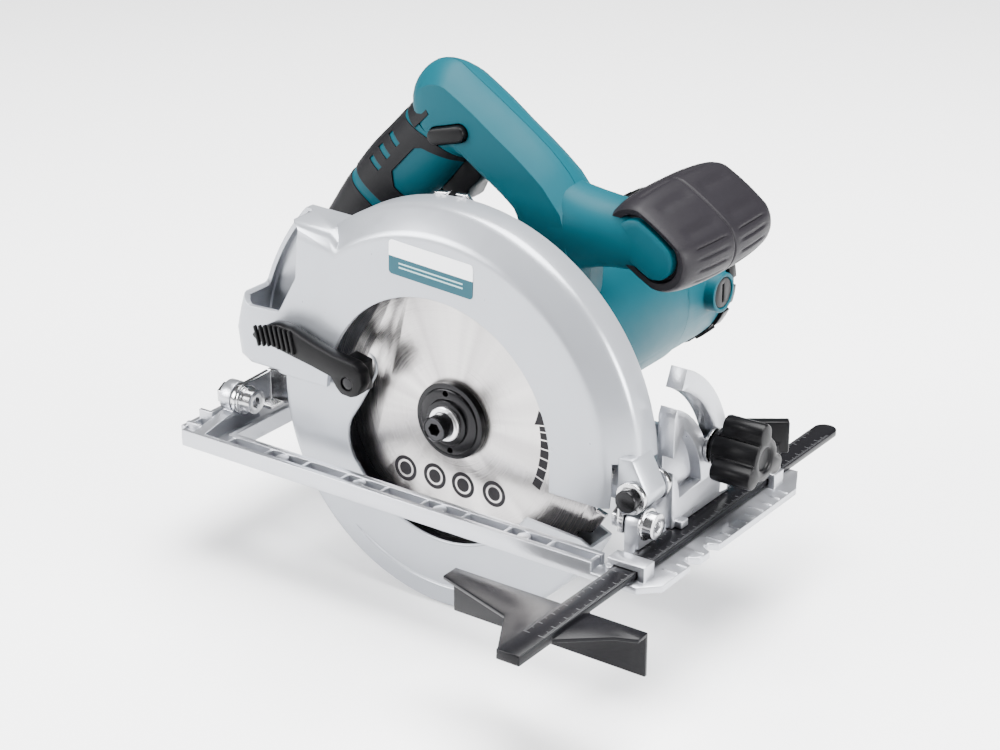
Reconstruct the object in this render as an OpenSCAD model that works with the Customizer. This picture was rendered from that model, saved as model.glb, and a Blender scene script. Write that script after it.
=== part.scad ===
// Circular saw for wood: 190 mm blade, tilting base, depth adjustment and rip fence.
// X is the cutting direction, Y runs from the blade side to the motor side, Z is up.
// The underside of the base is z = 0. The origin is on it, below the arbor, on its wide side.

/* [Blade] */
// Blade diameter over the tooth tips
blade_d = 190; // [184:1:190]
// Thickness of the blade plate
blade_t = 1.5; // [1.2:0.1:1.8]
// Number of teeth
teeth = 24; // [18:2:48]
// Diameter of the blade bore
blade_bore_d = 20; // [16:1:20]
// Depth of a gullet
gullet = 10; // [6:1:12]
// Height of the arbor above the sole
arbor_z = 40; // [38:1:44]

/* [Guards] */
// Radius of the lower guard's rim
lower_r = 98.5; // [97.5:0.5:99]
// Radius of the opening in the upper guard's front wall
cutout_r = 68; // [64:1:72]
// Radius of the upper guard's rim
upper_r = 112; // [111:1:116]
// Outer radius of the flat front wall
face_r = 99; // [97:1:100]
// Wall of the guard castings
guard_wall = 2.5; // [2:0.1:3]

/* [Base] */
// Distance from the arbor to the front edge of the base
base_front = 141; // [138:1:150]
// Distance from the arbor to the rear edge of the base
base_rear = 152; // [148:1:170]
// Distance from the blade to the edge of the narrow side
base_near = 38.5; // [36:0.5:46]
// Distance from the blade to the edge of the wide side
base_far = 114; // [110:1:130]
// Thickness of the base plate
base_t = 3.5; // [3:0.5:4]
// Height of the rails and ribs
rail_h = 9; // [8:0.5:9.5]
// Radius of the bevel quadrant's rim
quadrant_r = 75; // [73:1:80]

/* [Motor and handles] */
// Outer radius of the motor housing
motor_r = 43; // [42:0.5:46]
// Length of the motor housing along its shaft
motor_len = 145; // [140:1:155]
// Wall of the plastic housings
shell = 3; // [2.5:0.5:3.5]
// Width of the main handle across its two halves
handle_w = 40; // [36:1:44]
// Radius of the handle's bars, seen from the side
grip_r = 17; // [15:0.5:18]
// Length of the front grip
front_grip_len = 88; // [80:1:96]

/* [Rip fence] */
// Length of the fence bar
bar_len = 292; // [270:1:310]
// Width of the fence bar
bar_w = 12.3; // [11:0.1:13]
// Length of the guide plate
guide_len = 106; // [90:1:120]
// Height of the guide plate
guide_h = 22; // [18:1:26]

/* [Hidden] */
$fn = 72;
// Blade mid-plane, measured from the origin on the wide side
blade_y = -60;
// Running clearance of shafts and pins, per side
fit = 0.06;
// Gap between pieces that move past each other
gap = 0.5;
eps = 0.01;
half_t = blade_t / 2;

// Arbor and clamping stack
flange_r = 20;
inner_flange_y1 = 4.7;
outer_flange_y0 = -6;
spindle_r = 7.5;
nose_r = 7;
bolt_head_r = 6.5;
bolt_y0 = -17;

// Walls of the upper guard
face_y0 = -16;
face_y1 = face_y0 + guard_wall;
shoulder_y = -5;
back_y1 = 12;
back_y0 = back_y1 - guard_wall;
hub_r = 22;
hub_y0 = 5.4;
bearing_r = 17.5;
bearing_y = [7.5, 18.5];
seat_y1 = 19;
// Lowest points of the guard: chip duct, front wall and rim
duct_z = 45.5;
front_z0 = 25;
rim_z0 = 47.5;
front_wall_x = 102.5;

// Lower guard
lower_face_y = [-12, -10.4];
lower_back_y = [5.6, 7.2];
lower_inner_r = 62.5;
lower_wall = 1.7;
lower_front_a = -24;
lower_rear_a = -190;
lever_x = -45;
lever_z = 57;

// Blade: its teeth are set off from this angle
pitch_a = 360 / teeth;
tip_r = blade_d / 2;
first_tooth = -15.96;

// Gear pair: 42 and 10 teeth of module 1
gear_m = 1;
gear_n = 42;
pinion_n = 10;
gear_y = [20.5, 30.5];
centre_d = gear_m * (gear_n + pinion_n) / 2;
motor_a = 76.7;
motor_x = centre_d * cos(motor_a);
motor_z = arbor_z + centre_d * sin(motor_a);

// Motor along Y
gearcase_y1 = 36;
motor_y0 = gearcase_y1;
motor_y1 = motor_y0 + motor_len;
cap_y1 = motor_y1 + 9;
cap_r = motor_r + 1;
shaft_r = 5;
stator_y = [78, 138];
brush_y = motor_y1 - 13;
commutator_r = 13;
front_bearing_y = [gearcase_y1 + 1, gearcase_y1 + 9];
rear_bearing_y = [motor_y1 + 0.2, motor_y1 + 5.8];
housing_screw_r = motor_r - 8;
housing_angles = [40, 140, 220, 320];
retainer_angles = [60, 180, 300];
lock_y = gear_y[0] + 5;
lock_z = arbor_z - 4;

// Bevel axis, along X
bevel_y = -8;
bevel_z = 20;
pivot_r = 4;
ear_r = 8.5;
front_ear_r = 6.2;
ear_flat_a = asin(4.1 / front_ear_r);
quadrant_gap = 21.4;
ear_top = bevel_z + 4.1;
front_ear_x = [109.8, 118];
rear_ear_x = [-141, -134];
clamp_r = 60;
clamp_a = 19;
clamp_y = bevel_y + clamp_r * cos(clamp_a);
clamp_z = bevel_z + clamp_r * sin(clamp_a);
bevel_max = 45;
stud_r = 4;
quadrant_face = front_ear_x[1] + 1;
bracket_x = [106, 109.3];
cheek_t = 3;
lug_y = [-11.4, 6];
cheek_y = [lug_y[0] - gap - cheek_t, lug_y[1] + gap];
guide_foot_x = [-133.4, -130.4];

// Depth pivot, along Y, and the guide arc round it
depth_x = 113;
depth_z = 34;
depth_pin_r = 3.5;
depth_lug_r = 7.2;
depth_max = 38;
guide_r = 168;
guide_a = 4;
guide_y = [13, 16];
depth_bolt_r = 3.5;
depth_bolt_x = depth_x - guide_r * cos(guide_a);
depth_bolt_z = depth_z + guide_r * sin(guide_a);

// Main handle, seen from the side; its mid-plane splits the two halves
handle_y = 55;
head_x = -41;
head_z = 187;
arm_x = 38;
arm_z = 138;
heel_x = -106;
heel_z = 96;
post_x = 22;
post_z = 112;
lower_x = -44;
lower_z = 72;
head_r = grip_r + 1;
parting = 0.04;
inlet_r = 7.5;
screw_points = [[head_x - 2, head_z + 8], [arm_x - 12, arm_z + 4], [-2, 166], [heel_x + 1, heel_z + 10],
    [-71, 77]];
swell = 9;
trigger_y = [handle_y - 9, handle_y + 9];
trigger_pin_r = 1.5;
grip_a = atan2(heel_z - head_z + 4, heel_x - head_x - 4);
// Point of the grip, from its upper end along it and from its middle towards the trigger
function grip_at(a, o) = [head_x + 4 + a * cos(grip_a) - o * sin(grip_a),
    head_z - 4 + a * sin(grip_a) + o * cos(grip_a)];
trigger_pin = grip_at(9, 21);
handle_y0 = handle_y - handle_w / 2;
handle_y1 = handle_y + handle_w / 2;

// Front grip, along Y
front_x = 78;
front_z = 131;
front_tilt = -33;
front_y0 = 47;
front_y1 = front_y0 + front_grip_len;

// Base window and front strip
window_x = [-121, 107];
window_y = [-26, 40];
fence_x = 122.75;
bar_z = [4.8, 8];
bar_y1 = 164.7;
bar_y0 = bar_y1 - bar_len;
guide_plate_y = -72;
screw_y = 100;
boss_h = 16;

// ---------- helpers ----------

// Everything below is drawn from the blade's mid-plane; this moves it to the origin
module place() {
    translate([0, blade_y, 0]) children();
}

// Cylinder along Y
module cyl_y(r, y0, y1, x = 0, z = 0) {
    translate([x, y0, z]) rotate([-90, 0, 0]) cylinder(h = y1 - y0, r = r);
}

// Cylinder along X
module cyl_x(r, x0, x1, y = 0, z = 0) {
    translate([x0, y, z]) rotate([0, 90, 0]) cylinder(h = x1 - x0, r = r);
}

// Ring along Y
module ring_y(r, hole, y0, y1, x = 0, z = 0) {
    difference() {
        cyl_y(r, y0, y1, x, z);
        cyl_y(hole, y0 - 1, y1 + 1, x, z);
    }
}

// Outline in X and Z, extruded along Y
module prism_y(y0, y1) {
    translate([0, y1, 0]) rotate([90, 0, 0]) linear_extrude(y1 - y0) children();
}

// Outline in Y and Z, extruded along X
module prism_x(x0, x1) {
    translate([x0, 0, 0]) rotate([90, 0, 90]) linear_extrude(x1 - x0) children();
}

// Box from its two corners
module block(a, b) {
    translate(a) cube(b - a);
}

// Points of an arc
function arc(r, a0, a1, n = 24, x = 0, z = 0) =
    [for (i = [0:n]) [x + r * cos(a0 + (a1 - a0) * i / n), z + r * sin(a0 + (a1 - a0) * i / n)]];

// Flat bar with round ends between two points
module bar2d(p, q, r) {
    a = atan2(q[1] - p[1], q[0] - p[0]);
    polygon(concat(arc(r, a + 90, a + 270, 18, p[0], p[1]), arc(r, a - 90, a + 90, 18, q[0], q[1])));
}

// Ring sector about the origin
module sector2d(r1, r0, a0, a1, n = 40) {
    polygon(concat(arc(r1, a0, a1, n), arc(r0, a1, a0, n)));
}

// Involute of a base circle
function involute(rb, t) = [rb * (cos(t) + t * PI / 180 * sin(t)), rb * (sin(t) - t * PI / 180 * cos(t))];
function turned(p, a) = [p[0] * cos(a) - p[1] * sin(a), p[0] * sin(a) + p[1] * cos(a)];
function roll_at(rb, r) = r <= rb ? 0 : sqrt(pow(r / rb, 2) - 1) * 180 / PI;

// Spur gear outline, with a tooth centred on the X axis
module gear2d(n, m, thin, tip, root) {
    rp = n * m / 2;
    rb = rp * cos(20);
    ra = rp + tip;
    rr = rp - root;
    inv_p = roll_at(rb, rp) - atan(roll_at(rb, rp) * PI / 180);
    half = 90 / n - thin / rp * 90 / PI + inv_p;
    steps = 5;
    flank = [for (i = [0:steps]) involute(rb, roll_at(rb, ra) * i / steps)];
    low = [for (i = [0:steps]) turned(flank[i], -half)];
    high = [for (i = [steps:-1:0]) [low[i][0], -low[i][1]]];
    foot = rr < rb ? [[rr * cos(half), -rr * sin(half)]] : [];
    tooth = concat(foot, low, high, rr < rb ? [[foot[0][0], -foot[0][1]]] : []);
    polygon([for (k = [0:n - 1]) for (p = tooth) turned(p, 360 * k / n)]);
}

// ---------- base ----------

module window2d() {
    difference() {
        translate([window_x[0], window_y[0]]) square([window_x[1] - window_x[0], window_y[1] - window_y[0]]);
        translate([window_x[0], window_y[0]]) rotate(45) square([14, 14], center = true);
    }
}

module base_plate2d() {
    corner = 9;
    x0 = -base_rear;
    polygon([[x0 + 4, -base_near], [base_front - corner, -base_near], [base_front, -base_near + corner],
        [base_front, base_far - 2 * corner], [base_front - corner, base_far], [x0 + corner, base_far],
        [x0, base_far - corner], [x0, -base_near + 4]]);
}

// Wall that stands round the inside of the base's edge, open at the front strip
module base_rim() {
    wall = 3;
    x1 = front_ear_x[0] - 3;
    block([-base_rear, -base_near + 4, 0], [-base_rear + wall, base_far - 9, rail_h]);
    block([-base_rear + 4, -base_near, 0], [x1, -base_near + wall, rail_h]);
    block([-base_rear + 9, base_far - wall, 0], [x1, base_far, rail_h]);
    block([window_x[0] - wall, window_y[0] - wall, 0], [x1, window_y[0], rail_h]);
    block([window_x[0] - wall, window_y[0] - wall, 0], [window_x[0], window_y[1] + wall, rail_h]);
    block([window_x[0] - wall, window_y[1], 0], [x1, window_y[1] + wall, rail_h]);
}

// Cross ribs in the narrow rail, alternately with a round boss
module rail_ribs() {
    pitch = 25;
    n = floor((window_x[1] - window_x[0]) / pitch);
    for (i = [0:n]) {
        x = window_x[0] + i * pitch;
        block([x, -base_near + 2, base_t - 1], [x + 2, window_y[0] - 2, rail_h - 1]);
        if (i % 2 == 1)
            translate([x + 11, (-base_near + window_y[0]) / 2, base_t - 1])
                cylinder(h = rail_h - base_t, r = 3.4);
    }
}

// Ribs across the wide side
module wide_ribs() {
    pitch = 48;
    for (x = [-base_rear + 32:pitch:window_x[1] - 20])
        block([x, window_y[1] + 2, base_t - 1], [x + 2.5, base_far - 2, rail_h - 2]);
    block([-base_rear + 2, (window_y[1] + base_far) / 2, base_t - 1],
        [front_ear_x[0], (window_y[1] + base_far) / 2 + 2.5, rail_h - 2]);
}

// Ears that carry the two bevel pivots
module pivot_ears() {
    prism_x(front_ear_x[0], front_ear_x[1])
        polygon(concat([[bevel_y + ear_r + 4, 1]], arc(front_ear_r, 0, ear_flat_a, 8, bevel_y, bevel_z),
            arc(front_ear_r, 180 - ear_flat_a, 180, 8, bevel_y, bevel_z), [[bevel_y - front_ear_r, 1]]));
    prism_x(rear_ear_x[0], rear_ear_x[1]) union() {
        translate([bevel_y, bevel_z]) circle(ear_r);
        polygon([[bevel_y - 5.5, bevel_z - 6.5], [bevel_y + ear_r, bevel_z], [bevel_y + ear_r + 8, 1],
            [-base_near + 1, 1], [-base_near + 1, rail_h]]);
    }
    for (y = [-base_near + 6, -base_near + 16])
        block([-base_rear + 2, y, 1], [rear_ear_x[0] + eps, y + 2, rail_h + (y + base_near) / 3]);
}

// Quadrant that the bevel clamp slides along
module quadrant() {
    x0 = front_ear_x[0];
    x1 = front_ear_x[1] + 1;
    translate([0, bevel_y, bevel_z]) difference() {
        prism_x(x0, x1) intersection() {
            union() {
                sector2d(quadrant_r, 0, -18, 65);
                polygon([[quadrant_r * cos(65), quadrant_r * sin(65)], [quadrant_gap, 1], [quadrant_gap, -20],
                    [60, -20]]);
            }
            translate([quadrant_gap, -bevel_z + 1]) square([100, 100]);
        }
        prism_x(x0 - 1, x1 + 1) union() {
            sector2d(clamp_r + stud_r + gap, clamp_r - stud_r - gap, clamp_a - 1, clamp_a + bevel_max + 1);
            for (a = [clamp_a - 1, clamp_a + bevel_max + 1])
                translate([clamp_r * cos(a), clamp_r * sin(a)]) circle(stud_r + gap);
        }
        prism_x(x0 + 3, x1 + 1) sector2d(48, 28, 5, 50, 16);
    }
    // Gusset behind the quadrant's foot
    block([x1 - eps, bevel_y + 24, 1], [x1 + 4, bevel_y + 30, 12]);
}

// Bridges over the fence bar; the far one has the clamp boss
module bar_bridges() {
    for (y = [-33, 88])
        block([fence_x - bar_w / 2 - 4, y, 1], [fence_x + bar_w / 2 + 4, y + 9, bar_z[1] + 3.5]);
    translate([fence_x, screw_y - 3.5, 1]) cylinder(h = boss_h - 1, r = 7.5);
}

// Raised marks along the front edge
module edge_marks() {
    for (i = [0:13])
        block([base_front - (i % 5 == 0 ? 9 : 6), -16 + i * 8, base_t - eps],
            [base_front - 0.6, -15.2 + i * 8, base_t + 0.5]);
}

module base_casting() place() color("silver") difference() {
    union() {
        linear_extrude(base_t) base_plate2d();
        base_rim();
        rail_ribs();
        wide_ribs();
        pivot_ears();
        quadrant();
        bar_bridges();
        edge_marks();
    }
    translate([0, 0, -1]) linear_extrude(base_t + 1.5) window2d();
    block([window_x[0], window_y[0], -1], [window_x[1], window_y[1], rail_h + 1.5]);
    // Channel for the fence bar
    block([fence_x - bar_w / 2 - gap, -base_near - 1, bar_z[0] - gap],
        [fence_x + bar_w / 2 + gap, base_far + 1, bar_z[1] + gap]);
    translate([fence_x, screw_y - 3.5, bar_z[1]]) cylinder(h = boss_h, r = 3 + fit);
    // Pivot holes
    cyl_x(pivot_r + fit, front_ear_x[0] - 1, front_ear_x[1] + 1, bevel_y, bevel_z);
    cyl_x(pivot_r + fit, rear_ear_x[0] - 1, rear_ear_x[1] + 1, bevel_y, bevel_z);
    // Sight notches for square and mitred cuts
    for (y = [-0.5, 17])
        translate([base_front, y, -1]) linear_extrude(base_t + 3)
            polygon([[1, -5], [1, 5], [-5, 2.2], [-5, -2.2]]);
}

module bevel_scale() place() color("white") translate([0, bevel_y, bevel_z])
    prism_x(front_ear_x[1] + 1, front_ear_x[1] + 1.3)
        sector2d(quadrant_r - 2, clamp_r + stud_r + 2, -8, 14, 12);

// Shouldered pivot bolt with a hexagonal head and a nut
module pivot_bolt(x0, x1, washers) {
    cyl_x(pivot_r, x0 - 4, x1 + 3, bevel_y, bevel_z);
    translate([x1 + 1.5 * washers, bevel_y, bevel_z]) rotate([0, 90, 0]) difference() {
        cylinder(h = 5, r = 6.5);
        translate([0, 0, 2]) cylinder(h = 5, r = 3, $fn = 6);
    }
    for (i = [0:washers - 1])
        cyl_x(8 - i, x1 + 1.5 * i, x1 + 1.5 * i + 1.5, bevel_y, bevel_z);
    translate([x0 - 4, bevel_y, bevel_z]) rotate([0, 90, 0]) cylinder(h = 4, r = 6.2, $fn = 6);
}

module front_pivot_bolt() place() color("gainsboro")
    pivot_bolt(bracket_x[0], front_ear_x[1], 1);

module rear_pivot_bolt() place() color("gainsboro")
    pivot_bolt(rear_ear_x[0], guide_foot_x[1], 2);

// ---------- bevel frame ----------

module front_bracket() place() color("lightsteelblue") difference() {
    union() {
        difference() {
            prism_x(bracket_x[0], bracket_x[1]) union() {
                translate([bevel_y, bevel_z]) circle(ear_r - 1);
                bar2d([bevel_y, bevel_z], [clamp_y, clamp_z], 7);
                polygon([[cheek_y[0], bevel_z], [cheek_y[1] + cheek_t, bevel_z],
                    [cheek_y[1] + cheek_t, depth_z - 8], [cheek_y[0], depth_z - 8]]);
            }
            // Room for the guard's lug and the pin's end
            block([100, cheek_y[0] + cheek_t, depth_z - 8.8], [125, cheek_y[1] + cheek_t + 3, 60]);
        }
        for (y = cheek_y)
            prism_y(y, y + cheek_t) union() {
                translate([depth_x, depth_z]) circle(8);
                polygon([[bracket_x[0], bevel_z - 5], [bracket_x[1], bevel_z - 5],
                    [bracket_x[1], ear_top + 0.5], [depth_x + 6, depth_z - 5],
                    [depth_x - 2, depth_z + 7.6], [bracket_x[0], depth_z + 4]]);
            }
    }
    // Clearance over the base's ear
    block([bracket_x[1], bevel_y - ear_r - 8, 0], [140, bevel_y + ear_r + 10, ear_top + 0.5]);
    cyl_x(pivot_r + fit, 100, 125, bevel_y, bevel_z);
    cyl_x(stud_r + fit, 100, 125, clamp_y, clamp_z);
    cyl_y(depth_pin_r + fit, -20, 20, depth_x, depth_z);
}

// Angled sheet from the rear pivot, with the slotted arc for the cutting depth
module depth_guide() place() color("lightsteelblue") difference() {
    union() {
        prism_x(guide_foot_x[0], guide_foot_x[1]) union() {
            translate([bevel_y, bevel_z]) circle(ear_r);
            polygon([[bevel_y - 3, bevel_z - 8], [guide_y[1], 11], [guide_y[1], 29],
                [bevel_y - 3, bevel_z + 8]]);
        }
        prism_y(guide_y[0], guide_y[1])
            polygon([[guide_foot_x[0], 11], [-70, 17], [-45, 20], [-45, 40], [-70, 40],
                [guide_foot_x[0], 29]]);
        prism_y(guide_y[0], guide_y[1]) intersection() {
            translate([depth_x, depth_z])
                sector2d(guide_r + 9, guide_r - 9, 184, 180 - guide_a - depth_max - 4, 60);
            translate([0, arbor_z]) circle(upper_r + 0.5);
        }
        block([guide_foot_x[1] - eps, 4, 11], [guide_foot_x[1] + 8, guide_y[0] + eps, 13]);
    }
    cyl_x(pivot_r + fit, -150, -120, bevel_y, bevel_z);
    prism_y(guide_y[0] - 1, guide_y[1] + 1) translate([depth_x, depth_z]) {
        slot = depth_bolt_r + gap;
        sector2d(guide_r + slot, guide_r - slot, 181 - guide_a, 179 - guide_a - depth_max, 48);
        for (a = [181 - guide_a, 179 - guide_a - depth_max])
            translate([guide_r * cos(a), guide_r * sin(a)]) circle(slot);
    }
}

module depth_pin() place() color([0.1, 0.1, 0.11]) {
    cyl_y(depth_pin_r, cheek_y[0] - 0.5, cheek_y[1] + cheek_t + 2, depth_x, depth_z);
    cyl_y(5.6, cheek_y[0] - 4.5, cheek_y[0], depth_x, depth_z);
    ring_y(5.4, depth_pin_r - eps, cheek_y[1] + cheek_t, cheek_y[1] + cheek_t + 1.5, depth_x, depth_z);
}

module bevel_stud() place() color("gainsboro") {
    cyl_x(stud_r, bracket_x[0] - 1, 136, clamp_y, clamp_z);
    cyl_x(8, bracket_x[0] - 3, bracket_x[0], clamp_y, clamp_z);
}

module bevel_washer() place() color("gainsboro") difference() {
    cyl_x(9, quadrant_face + 0.35, quadrant_face + 2, clamp_y, clamp_z);
    cyl_x(stud_r + fit, 100, 140, clamp_y, clamp_z);
}

// Three-lobed knob
module bevel_knob() place() color([0.1, 0.1, 0.11]) translate([0, clamp_y, clamp_z]) difference() {
    union() {
        cyl_x(8.5, quadrant_face + 2.4, quadrant_face + 10);
        cyl_x(11, quadrant_face + 5, quadrant_face + 30);
        for (a = [90, 210, 330])
            prism_x(quadrant_face + 8, quadrant_face + 30)
                bar2d([0, 0], [13 * cos(a), 13 * sin(a)], 5.2);
    }
    cyl_x(stud_r + fit, 100, 137);
    cyl_x(6, quadrant_face + 28, quadrant_face + 40);
}

// ---------- guards ----------

// Solid of the guard: flat face, sloped shoulder and straight rim
module guard_solid(inset) {
    face = face_r - inset;
    rim = upper_r - inset;
    duct = 131 - inset;
    y0 = face_y0 + inset;
    union() {
        intersection() {
            translate([0, 0, arbor_z]) rotate([90, 0, 0]) rotate_extrude($fn = 120)
                polygon([[0, -back_y1 + inset], [rim, -back_y1 + inset], [rim, -shoulder_y],
                    [face, -y0], [0, -y0]]);
            prism_y(-40, 40) polygon(concat(arc(150, 4, 176, 30, 0, arbor_z),
                [[-150, duct_z + inset], [-30, duct_z + inset], [40, front_z0 + inset],
                [front_wall_x - inset, front_z0 + inset], [front_wall_x - inset, rim_z0 + inset],
                [150, rim_z0 + inset]]));
        }
        // Chip duct behind the blade
        prism_y(y0 + 3, back_y1 - inset) polygon(concat(
            arc(duct, 137, 170, 12, 0, arbor_z),
            [[-127 + inset, 49 + inset], [-120 + inset, duct_z + inset], [-40, duct_z + inset], [-40, 110],
                [-66, 128.5 - inset]]));
        prism_y(y0, y0 + 3 + eps) polygon(concat(
            arc(duct - 5, 139, 168, 12, 0, arbor_z),
            [[-120 + inset, 49 + inset], [-40, 46.5 + inset], [-40, 105], [-62, 116 - inset]]));
    }
}

module upper_guard() place() color("silver") difference() {
    union() {
        difference() {
            guard_solid(0);
            guard_solid(guard_wall);
            // Open underside
            block([-130 + guard_wall, face_y1, 0], [upper_r - 8, back_y0, 48.1]);
            // Opening in the front wall
            cyl_y(cutout_r, face_y0 - 1, face_y1 + 1, 0, arbor_z);
            block([-cutout_r + 3, face_y0 - 1, 0], [cutout_r, face_y1 + 1, arbor_z]);
        }
        // Hub that carries the arbor bearing and the lower guard
        cyl_y(hub_r, hub_y0, seat_y1, 0, arbor_z);
        // Lug for the depth pivot
        prism_y(lug_y[0], lug_y[1]) union() {
            translate([depth_x, depth_z]) circle(depth_lug_r);
            polygon([[depth_x, depth_z - depth_lug_r], [depth_x + 6.2, depth_z + 4], [upper_r - 0.5, 52],
                [front_wall_x - 1, 52], [front_wall_x - 1, depth_z - depth_lug_r]]);
        }
        // Stop for the rubber bumper
        block([-118, back_y0 - 9, 47], [-108, back_y0 + eps, 52]);
    }
    cyl_y(bearing_r + 0.02, 7, seat_y1 + 1, 0, arbor_z);
    cyl_y(10, 0, 10, 0, arbor_z);
    cyl_y(depth_pin_r + fit, -20, 20, depth_x, depth_z);
    cyl_y(depth_bolt_r + fit, 5, 20, depth_bolt_x, depth_bolt_z);
    for (a = retainer_angles)
        cyl_y(1.25, seat_y1 - 4, seat_y1 + 1, 19.8 * cos(a), arbor_z + 19.8 * sin(a));
    // Chip outlet, open towards the rear and the top
    prism_y(face_y0 - 1, back_y0 - 4) polygon([[-84, 126], [-86, 100], [-98, 79], [-118, 78], [-140, 100],
        [-110, 140]]);
}

module guard_bumper() place() color([0.12, 0.12, 0.12])
    block([-107.9, back_y0 - 8, 47.5], [-104, back_y0 - eps, 51.5]);

module rating_label() place() color("white")
    prism_y(face_y0 - 0.3, face_y0) polygon([[-26, 134], [24, 131], [23.5, 113.5], [-26.5, 116.5]]);

// Opening of the lower guard's front wall, with its wavy rear edge
module lower_opening2d() {
    polygon(concat(
        [[130, 0], [130, 160], [-52, 160], [-52, 71], [-40, 68], [-40, 56], [-46, 45], [-56, 30], [-58, 18]],
        arc(lower_inner_r, -148, lower_front_a - 8, 40, 0, arbor_z)));
}

module lower_guard() place() color("gainsboro") difference() {
    union() {
        prism_y(lower_face_y[0], lower_back_y[1]) translate([0, arbor_z])
            sector2d(lower_r, 15, lower_front_a, lower_rear_a, 60);
        cyl_y(31, lower_back_y[0] - 1, lower_back_y[1], 0, arbor_z);
        cyl_y(26, lower_back_y[1] - 1, 9, 0, arbor_z);
    }
    // Space for the blade, open at both ends
    prism_y(lower_face_y[1], lower_back_y[0]) translate([0, arbor_z])
        sector2d(lower_r - lower_wall, 5, lower_front_a + 10, lower_rear_a - 10, 60);
    cyl_y(33, lower_face_y[1], lower_back_y[0], 0, arbor_z);
    prism_y(lower_face_y[0] - 1, lower_face_y[1] + eps) lower_opening2d();
    cyl_y(hub_r + fit, 0, 12, 0, arbor_z);
    cyl_y(1.6, lower_face_y[0] - 1, lower_face_y[1] + 1, lever_x, lever_z);
}

// Thumb lever that swings the lower guard up
module retract_lever() place() color([0.1, 0.1, 0.11]) difference() {
    union() {
        prism_y(-28, lower_face_y[0]) polygon([[-51, 50], [-40.5, 50], [-40.5, 67], [-51, 69]]);
        prism_y(-28, -20) polygon([[-40.5, 67], [-40.5, 52], [-52, 50], [-70, 60], [-84, 62], [-100, 64],
            [-109, 68.5], [-103, 75], [-90, 79.5], [-78, 76], [-62, 70]]);
        for (i = [0:7])
            translate([-79 - i * 3.5, 0, 70 - i * 0.2]) rotate([0, 20, 0])
                block([-0.8, -29.4, -6.5], [0.8, -27.9, 6.5]);
    }
    cyl_y(1.6, -40, 0, lever_x, lever_z);
    cyl_y(3.4, -40, -25, lever_x, lever_z);
}

module lever_screw() place() color("gainsboro") {
    cyl_y(1.55, -25.5, lower_face_y[1] + 0.5, lever_x, lever_z);
    cyl_y(3.3, -27.5, -25.5, lever_x, lever_z);
}

// Flat return spring coiled round the lower guard's hub
module guard_spring() place() color("dimgray") translate([0, 0, arbor_z]) {
    ring_y(29, 27.2, 7.6, 9);
    cyl_y(1.2, 7.6, 9, 33, 0);
    block([28.5, 7.6, -0.6], [33, 9, 0.6]);
}

module guard_circlip() place() color("gray")
    ring_y(23.6, flange_r + 0.8, 4.9, hub_y0 - eps, 0, arbor_z);

// ---------- arbor ----------

module output_spindle() place() color("gray") translate([0, 0, arbor_z]) difference() {
    union() {
        cyl_y(nose_r, -5.5, inner_flange_y1);
        cyl_y(spindle_r, inner_flange_y1, gear_y[1] + 0.5);
        cyl_y(5, gear_y[1] + 0.4, gearcase_y1 + 2.5);
        ring_y(9.5, 5, inner_flange_y1, 7.3);
    }
    cyl_y(4.05, -6, 18);
}

module drive_gear() place() color("gray") translate([0, gear_y[1], arbor_z]) difference() {
    rotate([90, 0, 0]) rotate(motor_a) linear_extrude(gear_y[1] - gear_y[0])
        gear2d(gear_n, gear_m, 0.28, 0.7, 1.15);
    cyl_y(spindle_r + 0.01, -40, 1);
}

// Tooth angle and the outline between two tips: face, gullet and back
function tooth(a) = concat(
    [[tip_r * cos(a), tip_r * sin(a)]],
    [[(tip_r - gullet * 0.6) * cos(a - 1.6), (tip_r - gullet * 0.6) * sin(a - 1.6)]],
    [for (k = [0:4])
        let (u = a + pitch_a * (0.02 + 0.055 * k), r = tip_r - gullet * (0.86 + 0.14 * sin(36 * k)))
        [r * cos(u), r * sin(u)]],
    [[(tip_r - gullet * 0.35) * cos(a + pitch_a * 0.42), (tip_r - gullet * 0.35) * sin(a + pitch_a * 0.42)]],
    [[(tip_r - 1.6) * cos(a + pitch_a * 0.72), (tip_r - 1.6) * sin(a + pitch_a * 0.72)]]);

module saw_blade() place() color("lightgray") translate([0, 0, arbor_z]) difference() {
    union() {
        prism_y(-half_t, half_t)
            polygon([for (i = [0:teeth - 1]) for (p = tooth(first_tooth + i * pitch_a)) p]);
        // Carbide tips
        for (i = [0:teeth - 1])
            rotate([0, -(first_tooth + i * pitch_a), 0])
                block([tip_r - 6, -1.2, -1.9], [tip_r - 0.4, 1.2, -0.3]);
    }
    cyl_y(blade_bore_d / 2, -5, 5);
}

module inner_flange() place() color("gray") translate([0, 0, arbor_z]) difference() {
    union() {
        cyl_y(flange_r, half_t, inner_flange_y1);
        cyl_y(blade_bore_d / 2 - 0.05, -half_t + 0.1, half_t + eps);
    }
    cyl_y(nose_r + 0.01, -5, 6);
}

module outer_flange() place() color([0.13, 0.13, 0.14]) translate([0, 0, arbor_z]) difference() {
    union() {
        cyl_y(flange_r, outer_flange_y0 + 2, -half_t);
        cyl_y(flange_r - 3, outer_flange_y0 + 0.8, outer_flange_y0 + 2.1);
        cyl_y(11.5, outer_flange_y0 - 1, outer_flange_y0 + 2);
    }
    cyl_y(nose_r + 0.02, -5.6, 5);
    cyl_y(4.1, -10, 5);
    for (a = [95, 275])
        cyl_y(1.6, -10, -2.5, 15.4 * cos(a), 15.4 * sin(a));
}

module arbor_bolt() place() color([0.16, 0.16, 0.17]) translate([0, 0, arbor_z]) difference() {
    union() {
        cyl_y(4, -9, 16);
        cyl_y(9, -8.8, outer_flange_y0 - 1);
        cyl_y(bolt_head_r, bolt_y0, -8.7);
    }
    translate([0, bolt_y0 - 1, 0]) rotate([-90, 0, 0]) cylinder(h = 6, r = 3.5, $fn = 6);
}

// ---------- bearings ----------

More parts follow.
